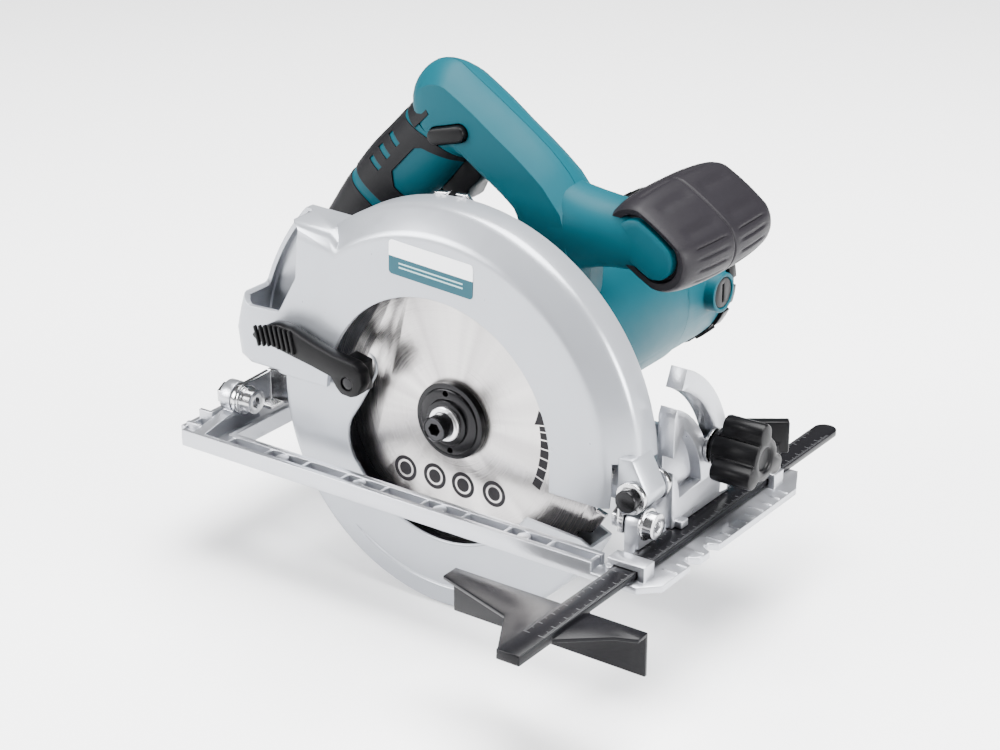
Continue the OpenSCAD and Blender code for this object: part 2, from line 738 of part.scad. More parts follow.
// Ball bearing drawn as its two rings and the balls' cage between them
module bearing(r1, r0, y0, y1, x, z) {
    step = (r1 - r0) * 0.28;
    ring_y(r1, r1 - step, y0, y1, x, z);
    ring_y(r0 + step, r0, y0, y1, x, z);
    ring_y(r1 - step + eps, r0 + step - eps, y0 + 1, y1 - 1, x, z);
}

module arbor_bearing() place() color("gray")
    bearing(bearing_r, spindle_r + fit, bearing_y[0], bearing_y[1], 0, arbor_z);

module spindle_bush() place() color("darkgoldenrod")
    ring_y(8, 5 + fit, gearcase_y1 - 4.4, gearcase_y1 + 3, 0, arbor_z);

module armature_front_bearing() place() color("gray")
    bearing(13, shaft_r + fit, front_bearing_y[0], front_bearing_y[1], motor_x, motor_z);

module armature_rear_bearing() place() color("gray")
    bearing(11, shaft_r - 1 + fit, rear_bearing_y[0], rear_bearing_y[1], motor_x, motor_z);

module bearing_retainer() place() color("gray") difference() {
    ring_y(bearing_r + 4, 12, seat_y1 + 0.05, seat_y1 + 1, 0, arbor_z);
    for (a = retainer_angles)
        cyl_y(1.25, seat_y1, seat_y1 + 2, 19.8 * cos(a), arbor_z + 19.8 * sin(a));
}

module retainer_screws() place() color("gray")
    for (a = retainer_angles)
        cyl_y(1.2, seat_y1 - 3.5, seat_y1 + 1.4, 19.8 * cos(a), arbor_z + 19.8 * sin(a));

// ---------- gear and motor housings ----------

// Place of one of the screws that join the two housings
module at_screw(a) {
    translate([motor_x + housing_screw_r * cos(a), 0, motor_z + housing_screw_r * sin(a)]) children();
}

module gearcase2d(inset) {
    translate([0, arbor_z]) circle(27.5 - inset);
    translate([motor_x, motor_z]) circle(motor_r - 1.5 - inset);
}

module gear_housing() place() color("darkgray") difference() {
    union() {
        prism_y(back_y1, gearcase_y1) gearcase2d(0);
        cyl_y(16.5, gearcase_y1 - eps, front_bearing_y[1] + 0.5, motor_x, motor_z);
        cyl_y(11, gearcase_y1 - eps, gearcase_y1 + 3.5, 0, arbor_z);
    }
    prism_y(back_y1 - 1, gearcase_y1 - 4.5) gearcase2d(shell);
    cyl_y(13.02, front_bearing_y[0], 60, motor_x, motor_z);
    cyl_y(6.4, 20, 60, motor_x, motor_z);
    cyl_y(8.02, gearcase_y1 - 4.5, gearcase_y1 + 3, 0, arbor_z);
    // Guide of the spindle lock
    cyl_x(3 + fit, 20, 60, lock_y, lock_z);
    cyl_x(5.5 + gap, 39, 60, lock_y, lock_z);
    for (a = housing_angles)
        at_screw(a) cyl_y(1.95, gearcase_y1 - 6, gearcase_y1 + 1, 0, 0);
}

// Air slots round the housing
module air_slots(r, y0, y1, angles) {
    for (a = angles)
        translate([motor_x, 0, motor_z]) rotate([0, -a, 0])
            block([r - 8, y0, -1.5], [r + 5, y1, 1.5]);
}

module motor_housing() place() color([0.07, 0.42, 0.5]) difference() {
    union() {
        difference() {
            union() {
                cyl_y(motor_r, motor_y0, motor_y1 - 40, motor_x, motor_z);
                cyl_y(motor_r - 1, motor_y1 - 40 - eps, motor_y1, motor_x, motor_z);
                for (s = [-1, 1])
                    translate([motor_x + s * (motor_r - 2), 0, 0]) cyl_x(11, -7, 7, brush_y, motor_z);
            }
            cyl_y(motor_r - shell - 1, motor_y0 - 1, motor_y1 + 1, motor_x, motor_z);
        }
        // Screw bosses
        for (a = housing_angles)
            at_screw(a) cyl_y(4.6, motor_y0, motor_y0 + 14, 0, 0);
    }
    for (a = housing_angles)
        at_screw(a) cyl_y(1.95, motor_y0 - 1, motor_y0 + 20, 0, 0);
    cyl_x(8.6, motor_x - 60, motor_x + 60, brush_y, motor_z);
    air_slots(motor_r, motor_y0 + 8, motor_y0 + 20, [150, 160, 170, 190, 200, 210, 320, 330]);
    cyl_y(11.5, motor_y0 - 1, motor_y0 + 5, 0, arbor_z);
}

module motor_end_cap() place() color([0.2, 0.2, 0.22]) difference() {
    union() {
        cyl_y(cap_r, motor_y1 + eps, cap_y1 - 2, motor_x, motor_z);
        cyl_y(cap_r - 3, cap_y1 - 2.1, cap_y1, motor_x, motor_z);
    }
    // Hollow round the seat of the rear bearing
    ring_y(cap_r - 4, 14, motor_y1 - 1, cap_y1 - 3, motor_x, motor_z);
    cyl_y(11.02, motor_y1 - 1, rear_bearing_y[1] + 0.1, motor_x, motor_z);
    for (i = [0:11])
        translate([motor_x, 0, motor_z]) rotate([0, i * 30, 0])
            block([18, cap_y1 - 4, -2], [34, cap_y1 + 1, 2]);
    for (i = [0:17])
        translate([motor_x, 0, motor_z]) rotate([0, i * 20, 0])
            block([cap_r - 1.5, motor_y1 - 1, -2.2], [cap_r + 2, cap_y1 + 1, 2.2]);
}

module brush_caps() place() color([0.15, 0.15, 0.16])
    for (s = [-1, 1])
        translate([motor_x + s * (motor_r + 2.5), brush_y, motor_z]) rotate([0, 90 * s, 0])
            difference() {
                translate([0, 0, -3]) cylinder(h = 5, r = 8.4);
                translate([-5, -0.8, 0.8]) cube([10, 1.6, 3]);
            }

module brush_holders() place() color("darkgoldenrod")
    for (s = [-1, 1])
        translate([motor_x, brush_y, motor_z]) mirror([s < 0 ? 1 : 0, 0, 0]) difference() {
            block([commutator_r + 2.5, -6, -5], [motor_r - 1.2, 6, 5]);
            block([commutator_r, -4.1, -3.1], [motor_r, 4.1, 3.1]);
        }

module carbon_brushes() place() color([0.2, 0.2, 0.2])
    for (s = [-1, 1])
        translate([motor_x, brush_y, motor_z]) mirror([s < 0 ? 1 : 0, 0, 0])
            block([commutator_r + 0.4, -4, -3], [commutator_r + 17, 4, 3]);

module stator_core() place() color("dimgray") difference() {
    cyl_y(motor_r - shell - 1.3, stator_y[0], stator_y[1], motor_x, motor_z);
    cyl_y(22.6, stator_y[0] - 1, stator_y[1] + 1, motor_x, motor_z);
    for (s = [-1, 1])
        translate([motor_x, 0, motor_z]) rotate([0, 90 * s, 0])
            block([20, stator_y[0] - 1, -13], [33, stator_y[1] + 1, 13]);
}

module field_coils() place() color("chocolate")
    for (s = [-1, 1])
        translate([motor_x, 0, motor_z]) rotate([0, 90 * s, 0])
            block([23.5, stator_y[0] - 7, -12.5], [32.5, stator_y[1] + 7, 12.5]);

// ---------- armature ----------

module armature_shaft() place() color("gray") translate([motor_x, 0, motor_z]) {
    translate([0, gear_y[1] + 0.5, 0]) rotate([90, 0, 0])
        rotate(motor_a + 180 + 180 / pinion_n) linear_extrude(gear_y[1] - gear_y[0] + 1)
            gear2d(pinion_n, gear_m, 0.28, 0.7, 1.1);
    cyl_y(3.8, gear_y[1] + 0.4, front_bearing_y[0]);
    cyl_y(shaft_r, front_bearing_y[0] - 0.1, rear_bearing_y[0] - 0.5);
    cyl_y(shaft_r - 1, rear_bearing_y[0] - 0.6, rear_bearing_y[1] - 0.2);
}

module armature_core() place() color("dimgray") translate([motor_x, 0, motor_z]) difference() {
    cyl_y(22, stator_y[0] + 1, stator_y[1] - 1);
    cyl_y(shaft_r + 0.01, 0, 200);
    for (i = [0:11])
        rotate([0, i * 30, 0]) block([15, stator_y[0], -1.2], [23, stator_y[1], 1.2]);
}

module commutator() place() color("peru")
    ring_y(commutator_r, shaft_r + 0.01, brush_y - 9, brush_y + 9, motor_x, motor_z);

module cooling_fan() place() color([0.15, 0.15, 0.15]) translate([motor_x, 0, motor_z]) {
    ring_y(34, shaft_r + 0.01, 52, 54);
    ring_y(10, shaft_r + 0.01, 53.9, 62);
    for (i = [0:10])
        rotate([0, i * 360 / 11, 0]) block([9.8, 53.9, -0.8], [33, 62, 0.8]);
}

// ---------- handles ----------

// Side view of the main handle, drawn in by the given inset
module handle2d(inset) {
    r = grip_r - inset;
    bar2d([head_x, head_z], [arm_x, arm_z], r);
    bar2d([head_x + 4, head_z - 4], [heel_x, heel_z], r);
    bar2d([arm_x, arm_z], [post_x, post_z], r + 3);
    bar2d([heel_x, heel_z], [lower_x, lower_z], r - 3);
    trigger_swell2d(r);
    translate([head_x, head_z]) circle(head_r - inset);
}

// Wider front of the grip, which the trigger comes out of
module trigger_swell2d(r) {
    bar2d(grip_at(6, swell), grip_at(38, swell), r);
}

// Space of the handle that the motor housing takes
module motor_room() {
    cyl_y(motor_r + 0.05, handle_y0 - 3, motor_y1 + 2, motor_x, motor_z);
}

module handle_cuts() {
    motor_room();
    // Slot of the trigger
    prism_y(trigger_y[0] - gap, trigger_y[1] + gap)
        polygon([grip_at(-1.5, 6), grip_at(-1.5, 28), grip_at(4, 36), grip_at(12.5, 38.5), grip_at(12.5, 60),
            grip_at(40.6, 60), grip_at(40.6, 6)]);
    cyl_y(trigger_pin_r + fit, trigger_y[0] - 4.4, trigger_y[1] + 4.4, trigger_pin[0], trigger_pin[1]);
    // Hole of the lock-off button
    prism_y(handle_y0 - 1, handle_y0 + 11) button2d(gap);
    // Cord inlet at the heel
    translate([heel_x, handle_y, heel_z]) rotate([0, -125, 0]) cylinder(h = 30, r = inlet_r);
    for (p = screw_points) {
        cyl_y(1.9, handle_y0 + 6, handle_y1 + 1, p[0], p[1]);
        cyl_y(3.5, handle_y1 - 1.8, handle_y1 + 1, p[0], p[1]);
    }
}

// Grip that is let into the halves for the overmould
module overmould2d() {
    bar2d([head_x - 20, head_z - 23.5], [heel_x + 6, heel_z + 7], grip_r + 5);
}

// One half: a shell between two planes, open towards the mid-plane
module handle_half(y0, y1, in0, in1) {
    difference() {
        union() {
            difference() {
                prism_y(y0, y1) handle2d(0);
                prism_y(in0, in1) handle2d(shell);
            }
            for (p = concat(screw_points, [trigger_pin]))
                cyl_y(4.5, y0, y1, p[0], p[1]);
        }
        handle_cuts();
        overmould_recess();
    }
}

// The overmould's material: a skin round the grip's front and back
module overmould_recess() {
    skin = 1.6;
    difference() {
        prism_y(handle_y0 - 1, handle_y1 + 1) intersection() {
            overmould2d();
            handle2d(-1);
        }
        prism_y(handle_y0 - 2, handle_y1 + 2)
            bar2d([head_x + 4, head_z - 4], [heel_x, heel_z], grip_r - skin);
        prism_y(handle_y0 - 2, handle_y1 + 2) bar2d([heel_x, heel_z], [lower_x, lower_z], grip_r - 2.5);
        prism_y(handle_y0 - 2, handle_y1 + 2) trigger_swell2d(grip_r + 0.1);
    }
}

module handle_right() place() color([0.07, 0.42, 0.5])
    handle_half(handle_y0, handle_y, handle_y0 + shell, handle_y + 1);

module handle_left() place() color([0.07, 0.42, 0.5])
    handle_half(handle_y, handle_y1, handle_y - 1, handle_y1 - shell);

module grip_overmould() place() color([0.15, 0.15, 0.16]) difference() {
    intersection() {
        prism_y(handle_y0, handle_y1) handle2d(0);
        overmould_recess();
    }
    // Parting line between the two halves
    prism_y(handle_y - parting / 2, handle_y + parting / 2) square(400, center = true);
    handle_cuts();
}

module handle_screws() place() color("dimgray")
    for (p = screw_points) {
        cyl_y(1.85, handle_y0 + 6.2, handle_y1 - 1, p[0], p[1]);
        cyl_y(3.4, handle_y1 - 1.75, handle_y1 - 0.3, p[0], p[1]);
    }

// Section of the front grip
module front_section(scale_r) {
    bar2d(scale_r * [-11, 0], scale_r * [11, 0], 17 * scale_r);
}

// Barrel of the front grip between two insets
module front_barrel(inset, y0, y1) {
    stations = 8;
    translate([front_x, 0, front_z]) rotate([0, -front_tilt, 0])
        for (i = [0:stations - 1]) {
            u = (i + 0.5) / stations;
            k = 0.8 + 0.2 * sin(180 * u) - inset / 17;
            prism_y(y0 + (y1 - y0) * i / stations, y0 + (y1 - y0) * (i + 1) / stations + eps)
                front_section(k);
        }
}

module front_grip_core() place() color([0.07, 0.42, 0.5]) difference() {
    union() {
        front_barrel(3, front_y0, front_y1 - 3);
        prism_y(handle_y0, handle_y1 + 6) neck2d(0);
    }
    prism_y(handle_y0 - 1, handle_y1 + 0.05) handle2d(-0.05);
    motor_room();
}

// Neck between the handle's front post and the front grip
module neck2d(extra) {
    bar2d([arm_x + 8, arm_z - 6], [front_x - 14, front_z + 3], 16 + extra);
}

module front_grip_rubber() place() color([0.22, 0.22, 0.24]) difference() {
    front_barrel(0, front_y0 + 2, front_y1);
    front_barrel(2.98, front_y0, front_y1 - 3);
    prism_y(handle_y0 - 1, handle_y1 + 7) neck2d(0.02);
}

module switch_box() place() color([0.14, 0.14, 0.15])
    prism_y(handle_y - 8, handle_y + 8)
        polygon([grip_at(8, -12), grip_at(34, -12), grip_at(34, 6), grip_at(8, 6)]);

module trigger() place() color([0.1, 0.1, 0.11]) {
    difference() {
        prism_y(trigger_y[0], trigger_y[1])
            polygon([grip_at(2, 15), grip_at(1, 24), grip_at(5, 31), grip_at(11, 36), grip_at(17, 37),
                grip_at(24, 36), grip_at(31, 37.5), grip_at(35.5, 36.5), grip_at(37.5, 32), grip_at(37, 20),
                grip_at(30, 15.5), grip_at(14, 12)]);
        cyl_y(trigger_pin_r + 2, handle_y - 2.3, handle_y + 2.3, trigger_pin[0], trigger_pin[1]);
    }
    cyl_y(trigger_pin_r, trigger_y[0] - 4.2, trigger_y[1] + 4.2, trigger_pin[0], trigger_pin[1]);
}

// Coil round the trigger's pin
module trigger_spring() place() color("gray")
    ring_y(trigger_pin_r + 1.7, trigger_pin_r + 0.05, handle_y - 2.1, handle_y + 2.1,
        trigger_pin[0], trigger_pin[1]);

// Oval of the lock-off button
module button2d(extra) {
    bar2d(grip_at(-1.6, 17.2), grip_at(10.2, 8.6), 4.2 + extra);
}

module lock_off_button() place() color([0.12, 0.12, 0.13])
    prism_y(handle_y0 - 1.6, handle_y0 + 6.9) button2d(0);

// Bush that the cord passes through
module cord_inlet() place() color([0.12, 0.12, 0.13])
    translate([heel_x, handle_y, heel_z]) rotate([0, -125, 0]) difference() {
        translate([0, 0, grip_r - 6]) cylinder(h = 9, r = inlet_r - 0.05);
        cylinder(h = 40, r = 4);
    }

// ---------- fasteners on the saw body ----------

module housing_screws() place() color("dimgray")
    for (a = housing_angles)
        cyl_y(1.9, gearcase_y1 - 4.4, gearcase_y1 + 14, motor_x + housing_screw_r * cos(a),
            motor_z + housing_screw_r * sin(a));

module depth_bolt() place() color("gainsboro") {
    cyl_y(depth_bolt_r, back_y0 - 1, 31, depth_bolt_x, depth_bolt_z);
    cyl_y(6.5, back_y0 - 1.6, back_y0, depth_bolt_x, depth_bolt_z);
    ring_y(8.5, depth_bolt_r - eps, guide_y[1] + 0.35, guide_y[1] + 1.6, depth_bolt_x, depth_bolt_z);
}

module depth_lever() place() color([0.1, 0.1, 0.11]) difference() {
    prism_y(guide_y[1] + 2, guide_y[1] + 12) union() {
        translate([depth_bolt_x, depth_bolt_z]) circle(8.5);
        bar2d([depth_bolt_x, depth_bolt_z], [depth_bolt_x - 34, depth_bolt_z - 9], 5);
    }
    cyl_y(depth_bolt_r + fit, 0, 60, depth_bolt_x, depth_bolt_z);
}

module spindle_lock() place() color([0.12, 0.12, 0.13]) {
    cyl_x(3, 25.5, 44.5, lock_y, lock_z);
    cyl_x(5.5, 43, 48, lock_y, lock_z);
}

// ---------- rip fence ----------

module rip_fence() place() color([0.12, 0.12, 0.13]) {
    block([fence_x - bar_w / 2, bar_y0, bar_z[0]], [fence_x + bar_w / 2, bar_y1 - bar_w / 2, bar_z[1]]);
    translate([fence_x, bar_y1 - bar_w / 2, bar_z[0]]) cylinder(h = bar_z[1] - bar_z[0], r = bar_w / 2);
    // Flat flange under the bar, cut back towards its near end
    translate([0, 0, bar_z[0] - 2]) linear_extrude(2 + eps)
        polygon([[160 - guide_len, guide_plate_y], [160 - guide_len, guide_plate_y - 10],
            [fence_x - bar_w / 2 - 18, guide_plate_y - 24], [fence_x - bar_w / 2, bar_y0],
            [fence_x + bar_w / 2, bar_y0], [fence_x + bar_w / 2, guide_plate_y - 30],
            [150, guide_plate_y - 12], [160, guide_plate_y - 8], [160, guide_plate_y]]);
    block([160 - guide_len, guide_plate_y - 2, bar_z[0] - guide_h], [160, guide_plate_y, bar_z[0] + eps]);
}

module fence_screw() place() color([0.1, 0.1, 0.11]) translate([fence_x, screw_y - 3.5, 0]) {
    translate([0, 0, bar_z[1] + 0.2]) cylinder(h = 14, r = 3);
    translate([0, 0, boss_h + gap]) cylinder(h = 8, r = 7);
    translate([0, 0, boss_h + 3]) rotate(35)
        block([-11, -3, 0], [11, 3, 17]);
}

base_casting();
bevel_scale();
front_pivot_bolt();
rear_pivot_bolt();
front_bracket();
depth_guide();
depth_pin();
bevel_stud();
bevel_washer();
bevel_knob();
upper_guard();
gear_housing();
motor_housing();
motor_end_cap();
handle_right();
handle_left();
grip_overmould();
front_grip_core();
front_grip_rubber();
brush_caps();
brush_holders();
carbon_brushes();
stator_core();
field_coils();
arbor_bearing();
spindle_bush();
armature_front_bearing();
armature_rear_bearing();
bearing_retainer();
guard_circlip();
switch_box();
cord_inlet();
rating_label();
handle_screws();
housing_screws();
retainer_screws();
guard_bumper();
depth_bolt();
depth_lever();
lower_guard();
retract_lever();
lever_screw();
guard_spring();
output_spindle();
drive_gear();
inner_flange();
saw_blade();
outer_flange();
arbor_bolt();
armature_shaft();
armature_core();
commutator();
cooling_fan();
trigger();
trigger_spring();
lock_off_button();
spindle_lock();
rip_fence();
fence_screw();
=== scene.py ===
from math import atan2, cos, degrees, hypot, pi, radians, sin, sqrt

import bmesh
import bpy
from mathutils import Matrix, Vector


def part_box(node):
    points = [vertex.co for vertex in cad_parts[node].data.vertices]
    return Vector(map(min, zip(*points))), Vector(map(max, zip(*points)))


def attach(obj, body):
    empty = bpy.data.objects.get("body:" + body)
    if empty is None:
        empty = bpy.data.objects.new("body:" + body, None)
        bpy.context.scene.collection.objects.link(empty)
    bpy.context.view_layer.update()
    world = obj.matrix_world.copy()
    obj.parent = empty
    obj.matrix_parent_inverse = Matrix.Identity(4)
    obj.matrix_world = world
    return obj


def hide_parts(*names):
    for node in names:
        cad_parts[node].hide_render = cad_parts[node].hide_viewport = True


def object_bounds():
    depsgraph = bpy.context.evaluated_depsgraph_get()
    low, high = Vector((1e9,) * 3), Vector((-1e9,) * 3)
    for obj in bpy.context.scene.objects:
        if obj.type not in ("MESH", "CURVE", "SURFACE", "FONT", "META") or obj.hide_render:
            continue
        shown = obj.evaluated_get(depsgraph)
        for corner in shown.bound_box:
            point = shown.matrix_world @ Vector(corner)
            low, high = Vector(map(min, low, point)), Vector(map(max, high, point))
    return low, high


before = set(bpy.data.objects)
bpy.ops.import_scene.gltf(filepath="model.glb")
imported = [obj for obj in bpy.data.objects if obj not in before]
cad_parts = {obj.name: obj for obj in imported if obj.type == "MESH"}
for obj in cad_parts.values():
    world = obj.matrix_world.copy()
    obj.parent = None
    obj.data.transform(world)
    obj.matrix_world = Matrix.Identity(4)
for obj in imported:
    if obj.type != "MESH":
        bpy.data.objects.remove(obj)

cad_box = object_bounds()

# ---------- table, lights and camera ----------
# The saw stands on a plain white table under one wide lamp overhead,
# with a weaker lamp at either side and a pale room around it.


class Value:
    """A number or colour that a finish's nodes pass on. The operators add Math nodes."""

    def __init__(self, finish, socket):
        self.finish, self.socket = finish, socket

    def maths(self, operation, *terms):
        return self.finish.node("ShaderNodeMath", {"operation": operation}, terms)

    def __add__(self, other):
        return self.maths("ADD", self, other)

    def __radd__(self, other):
        return self.maths("ADD", other, self)

    def __sub__(self, other):
        return self.maths("SUBTRACT", self, other)

    def __rsub__(self, other):
        return self.maths("SUBTRACT", other, self)

    def __mul__(self, other):
        return self.maths("MULTIPLY", self, other)

    def __rmul__(self, other):
        return self.maths("MULTIPLY", other, self)

    def __truediv__(self, other):
        return self.maths("DIVIDE", self, other)

    def __rtruediv__(self, other):
        return self.maths("DIVIDE", other, self)

    def __pow__(self, other):
        return self.maths("POWER", self, other)

    def __mod__(self, other):
        return self.maths("FLOORED_MODULO", self, other)

    def __abs__(self):
        return self.maths("ABSOLUTE", self)

    def __gt__(self, other):
        return self.maths("GREATER_THAN", self, other)

    def __lt__(self, other):
        return self.maths("LESS_THAN", self, other)


class Finish:
    """A material made of nodes, whose patterns are measured in metres on the piece."""

    def __init__(self, name, slot=None, **numbers):
        self.material = bpy.data.materials.new(name)
        self.material.use_nodes = True
        self.slot = slot or name
        self.tree = self.material.node_tree
        self.shader = self.tree.nodes["Principled BSDF"]
        self.point = self.node("ShaderNodeTexCoord", output="Object")
        for name, number in numbers.items():
            self.set(name.replace("_", " "), number)

    def node(self, kind, settings=None, inputs=(), output=0):
        made = self.tree.nodes.new(kind)
        for key, value in (settings or {}).items():
            setattr(made, key, value)
        pairs = inputs.items() if isinstance(inputs, dict) else enumerate(inputs)
        for key, value in pairs:
            self.join(value, made.inputs[key])
        return Value(self, made.outputs[output])

    def join(self, value, socket):
        if isinstance(value, Value):
            self.tree.links.new(value.socket, socket)
        else:
            socket.default_value = value

    def set(self, name, value):
        if isinstance(value, tuple) and len(value) == 3:
            value = (*value, 1)
        self.join(value, self.shader.inputs[name])

    def axes(self):
        """The x, y and z of the point."""
        split = self.node("ShaderNodeSeparateXYZ", {}, [self.point]).socket.node
        return [Value(self, socket) for socket in split.outputs]

    def noise(self, size, detail=3, rough=0.5, stretch=(1, 1, 1)):
        """Cloudy pattern from 0 to 1, with features of the given size."""
        where = self.node("ShaderNodeMapping", {}, {"Vector": self.point, "Scale": stretch})
        return self.node("ShaderNodeTexNoise", {}, {"Vector": where, "Scale": 1 / size,
                                                   "Detail": detail, "Roughness": rough})

    def mix(self, factor, a, b):
        a, b = ((*c, 1) if isinstance(c, tuple) else c for c in (a, b))
        return self.node("ShaderNodeMix", {"data_type": "RGBA"}, {0: factor, 6: a, 7: b}, 2)

    def relief(self, height, depth, edge=0.0003):
        """Fine relief of the given depth, with edges that catch the light."""
        rounded = self.node("ShaderNodeBevel", {"samples": 6}, {"Radius": edge})
        self.set("Normal", self.node("ShaderNodeBump", {}, {"Strength": 1.0, "Distance": depth,
                                                           "Height": height, "Normal": rounded}))


table = Finish("table_top", Roughness=0.9)
table.set("Base Color", table.mix(table.noise(0.3), (0.93, 0.93, 0.935), (0.95, 0.95, 0.955)))
top = bmesh.new()
bmesh.ops.create_grid(top, x_segments=1, y_segments=1, size=6)
bmesh.ops.translate(top, verts=top.verts, vec=(0, 0, cad_box[0][2] - 0.0005))
table_mesh = bpy.data.meshes.new("table_top")
top.to_mesh(table_mesh)
top.free()
table_mesh.materials.append(table.material)
table_top = bpy.data.objects.new("table_top", table_mesh)
bpy.context.collection.objects.link(table_top)

for name, place, aim, size, power in [
        ("overhead", (0.1, 0.2, 1.6), (0, 0, 0.1), 1.3, 140),
        ("front_left", (-1.1, -1.3, 0.8), (0, 0, 0.08), 0.9, 85),
        ("right", (1.7, 0.3, 0.6), (0, 0, 0.08), 0.8, 80)]:
    lamp = bpy.data.lights.new(name, "AREA")
    lamp.shape, lamp.size, lamp.energy = "SQUARE", size, power
    shade = bpy.data.objects.new(name, lamp)
    shade.location = place
    shade.rotation_euler = (Vector(aim) - Vector(place)).to_track_quat("-Z", "Y").to_euler()
    bpy.context.collection.objects.link(shade)

room = bpy.data.worlds.new("room")
bpy.context.scene.world = room
room.use_nodes = True
room.node_tree.nodes["Background"].inputs[0].default_value = (0.97, 0.98, 1.0, 1)
room.node_tree.nodes["Background"].inputs[1].default_value = 0.18

lens = bpy.data.cameras.new("camera")
lens.lens, lens.sensor_width = 87.4, 36
camera = bpy.data.objects.new("camera", lens)
camera.location = (0.6535, -0.9364, 0.5365)
sight = Vector((0.00656, -0.03001, 0.05457)) - camera.location
camera.rotation_euler = sight.to_track_quat("-Z", "Y").to_euler()
bpy.context.collection.objects.link(camera)
bpy.context.scene.camera = camera

# ---------- base ----------
# One aluminium pressure casting: the sole plate with its window, rails and ribs, the two ears for the bevel
# pivots, the quadrant and the bridges over the fence bar. Its edges are softened by the die.

blade_lo, blade_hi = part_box("saw_blade")
blade_y = (blade_lo.y + blade_hi.y) / 2
arbor_z = (blade_lo.z + blade_hi.z) / 2 * 1000


def at(x, y, z):
    """Point given in millimetres from the blade's plane and the sole."""
    return Vector((x / 1000, blade_y + y / 1000, z / 1000))


def cast(name, colour, roughness, metallic, grain, **numbers):
    """Metal or paint with a fine grain and a faint cloudy tone."""
    made = Finish(name, Metallic=metallic, **numbers)
    made.set("Base Color", made.mix(made.noise(0.02), tuple(c * 0.93 for c in colour), colour))
    made.set("Roughness", roughness + 0.1 * (made.noise(0.006) - 0.5))
    made.relief(made.noise(0.0009, 4, 0.6), grain, 0.0005)
    return made


def coat(finish, *nodes):
    """Gives CAD nodes their finish."""
    for node in nodes:
        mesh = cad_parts[node].data
        mesh.materials.clear()
        mesh.materials.append(finish.material)


def rounded(shape, radius, sharpest=28):
    """Rounds over the shape's edges that are sharper than an angle."""
    edges = [e for e in shape.edges if e.calc_face_angle(0) > radians(sharpest)]
    bmesh.ops.bevel(shape, geom=edges, offset=radius / 1000, offset_type="OFFSET", segments=2, profile=0.5,
                    affect="EDGES", clamp_overlap=False, material=-1)
    return shape


def softened(node, radius):
    """Copy of a CAD node with its edges rounded over."""
    shape = bmesh.new()
    shape.from_mesh(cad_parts[node].data)
    bmesh.ops.remove_doubles(shape, verts=shape.verts, dist=2e-6)
    bmesh.ops.dissolve_limit(shape, angle_limit=radians(1), verts=shape.verts, edges=shape.edges)
    return rounded(shape, radius)


def finished(name, shape, finish, body, stands_for, smooth=32):
    """Makes a shape into a piece of the saw that rides on a body."""
    mesh = bpy.data.meshes.new(name)
    bmesh.ops.recalc_face_normals(shape, faces=shape.faces)
    shape.to_mesh(mesh)
    shape.free()
    mesh.materials.append(finish.material)
    mesh.shade_smooth()
    mesh.set_sharp_from_angle(angle=radians(smooth))
    made = bpy.data.objects.new(name, mesh)
    bpy.context.collection.objects.link(made)
    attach(made, body)
    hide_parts(*stands_for)
    return made


cast_aluminium = cast("cast_aluminium", (0.42, 0.43, 0.46), 0.3, 0.85, 0.0001)
finished("sole_casting", softened("base_casting", 0.2), cast_aluminium, "base", ["base_casting"])

# ---------- bevel scale ----------
# Printed film stuck on the quadrant's face, with a line for every five degrees of tilt.

pivot_lo, pivot_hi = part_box("front_pivot_bolt")
scale_print = Finish("bevel_scale_print", "white_label", Roughness=0.35)
x, y, z = scale_print.axes()
off_y, off_z = y - (pivot_lo.y + pivot_hi.y) / 2, z - (pivot_lo.z + pivot_hi.z) / 2
turn = off_z.maths("ARCTAN2", off_z, off_y)
reach = (off_y * off_y + off_z * off_z) ** 0.5
line_step, line_wide, lines_from = radians(5), radians(0.9), 0.0695
lines = (turn % line_step < line_wide) * (reach > lines_from)
scale_print.set("Base Color", scale_print.mix(lines, (0.8, 0.81, 0.82), (0.05, 0.05, 0.06)))
coat(scale_print, "bevel_scale")

# ---------- bevel pivots and bracket ----------
# Zinc-plated bolts with nuts, a pressed bracket in front and an angled sheet at the rear. The sheet carries
# the slotted arc for the cutting depth.

zinc_steel = cast("zinc_steel", (0.46, 0.46, 0.47), 0.2, 1.0, 0.00002)
finished("front_bolt", softened("front_pivot_bolt", 0.35), zinc_steel, "base", ["front_pivot_bolt"])
finished("rear_bolt", softened("rear_pivot_bolt", 0.35), zinc_steel, "base", ["rear_pivot_bolt"])
finished("pressed_bracket", softened("front_bracket", 0.45), zinc_steel, "bevel_frame", ["front_bracket"])
finished("slotted_sheet", softened("depth_guide", 0.35), zinc_steel, "bevel_frame", ["depth_guide"])
coat(zinc_steel, "bevel_stud", "bevel_washer")

dark_steel = cast("dark_steel", (0.008, 0.008, 0.009), 0.24, 0.6, 0.00003, Specular_IOR_Level=0.3)
finished("depth_pivot_pin", softened("depth_pin", 0.5), dark_steel, "bevel_frame", ["depth_pin"])

# ---------- bevel knob ----------
# Three-lobed knob moulded in black nylon over a nut. It clamps the quadrant.


def moulded(name, colour, roughness, grain, size=0.0006, **numbers):
    """Plastic or rubber with a fine grain from the mould."""
    made = Finish(name, Specular_IOR_Level=0.1, **numbers)
    made.set("Base Color", made.mix(made.noise(0.03), tuple(c * 0.92 for c in colour), colour))
    made.set("Roughness", roughness + 0.08 * (made.noise(0.01) - 0.5))
    made.relief(made.noise(size, 3, 0.6), grain, 0.0005)
    return made


black_plastic = moulded("black_plastic", (0.003, 0.003, 0.0035), 0.33, 0.00003)
finished("three_lobed_knob", softened("bevel_knob", 1.2), black_plastic, "bevel_clamp", ["bevel_knob"])

# ---------- upper guard ----------
# Silver-painted aluminium casting that covers the blade's upper half, with a duct for the chips at the rear,
# a hub for the arbor and a lug for the depth pivot.

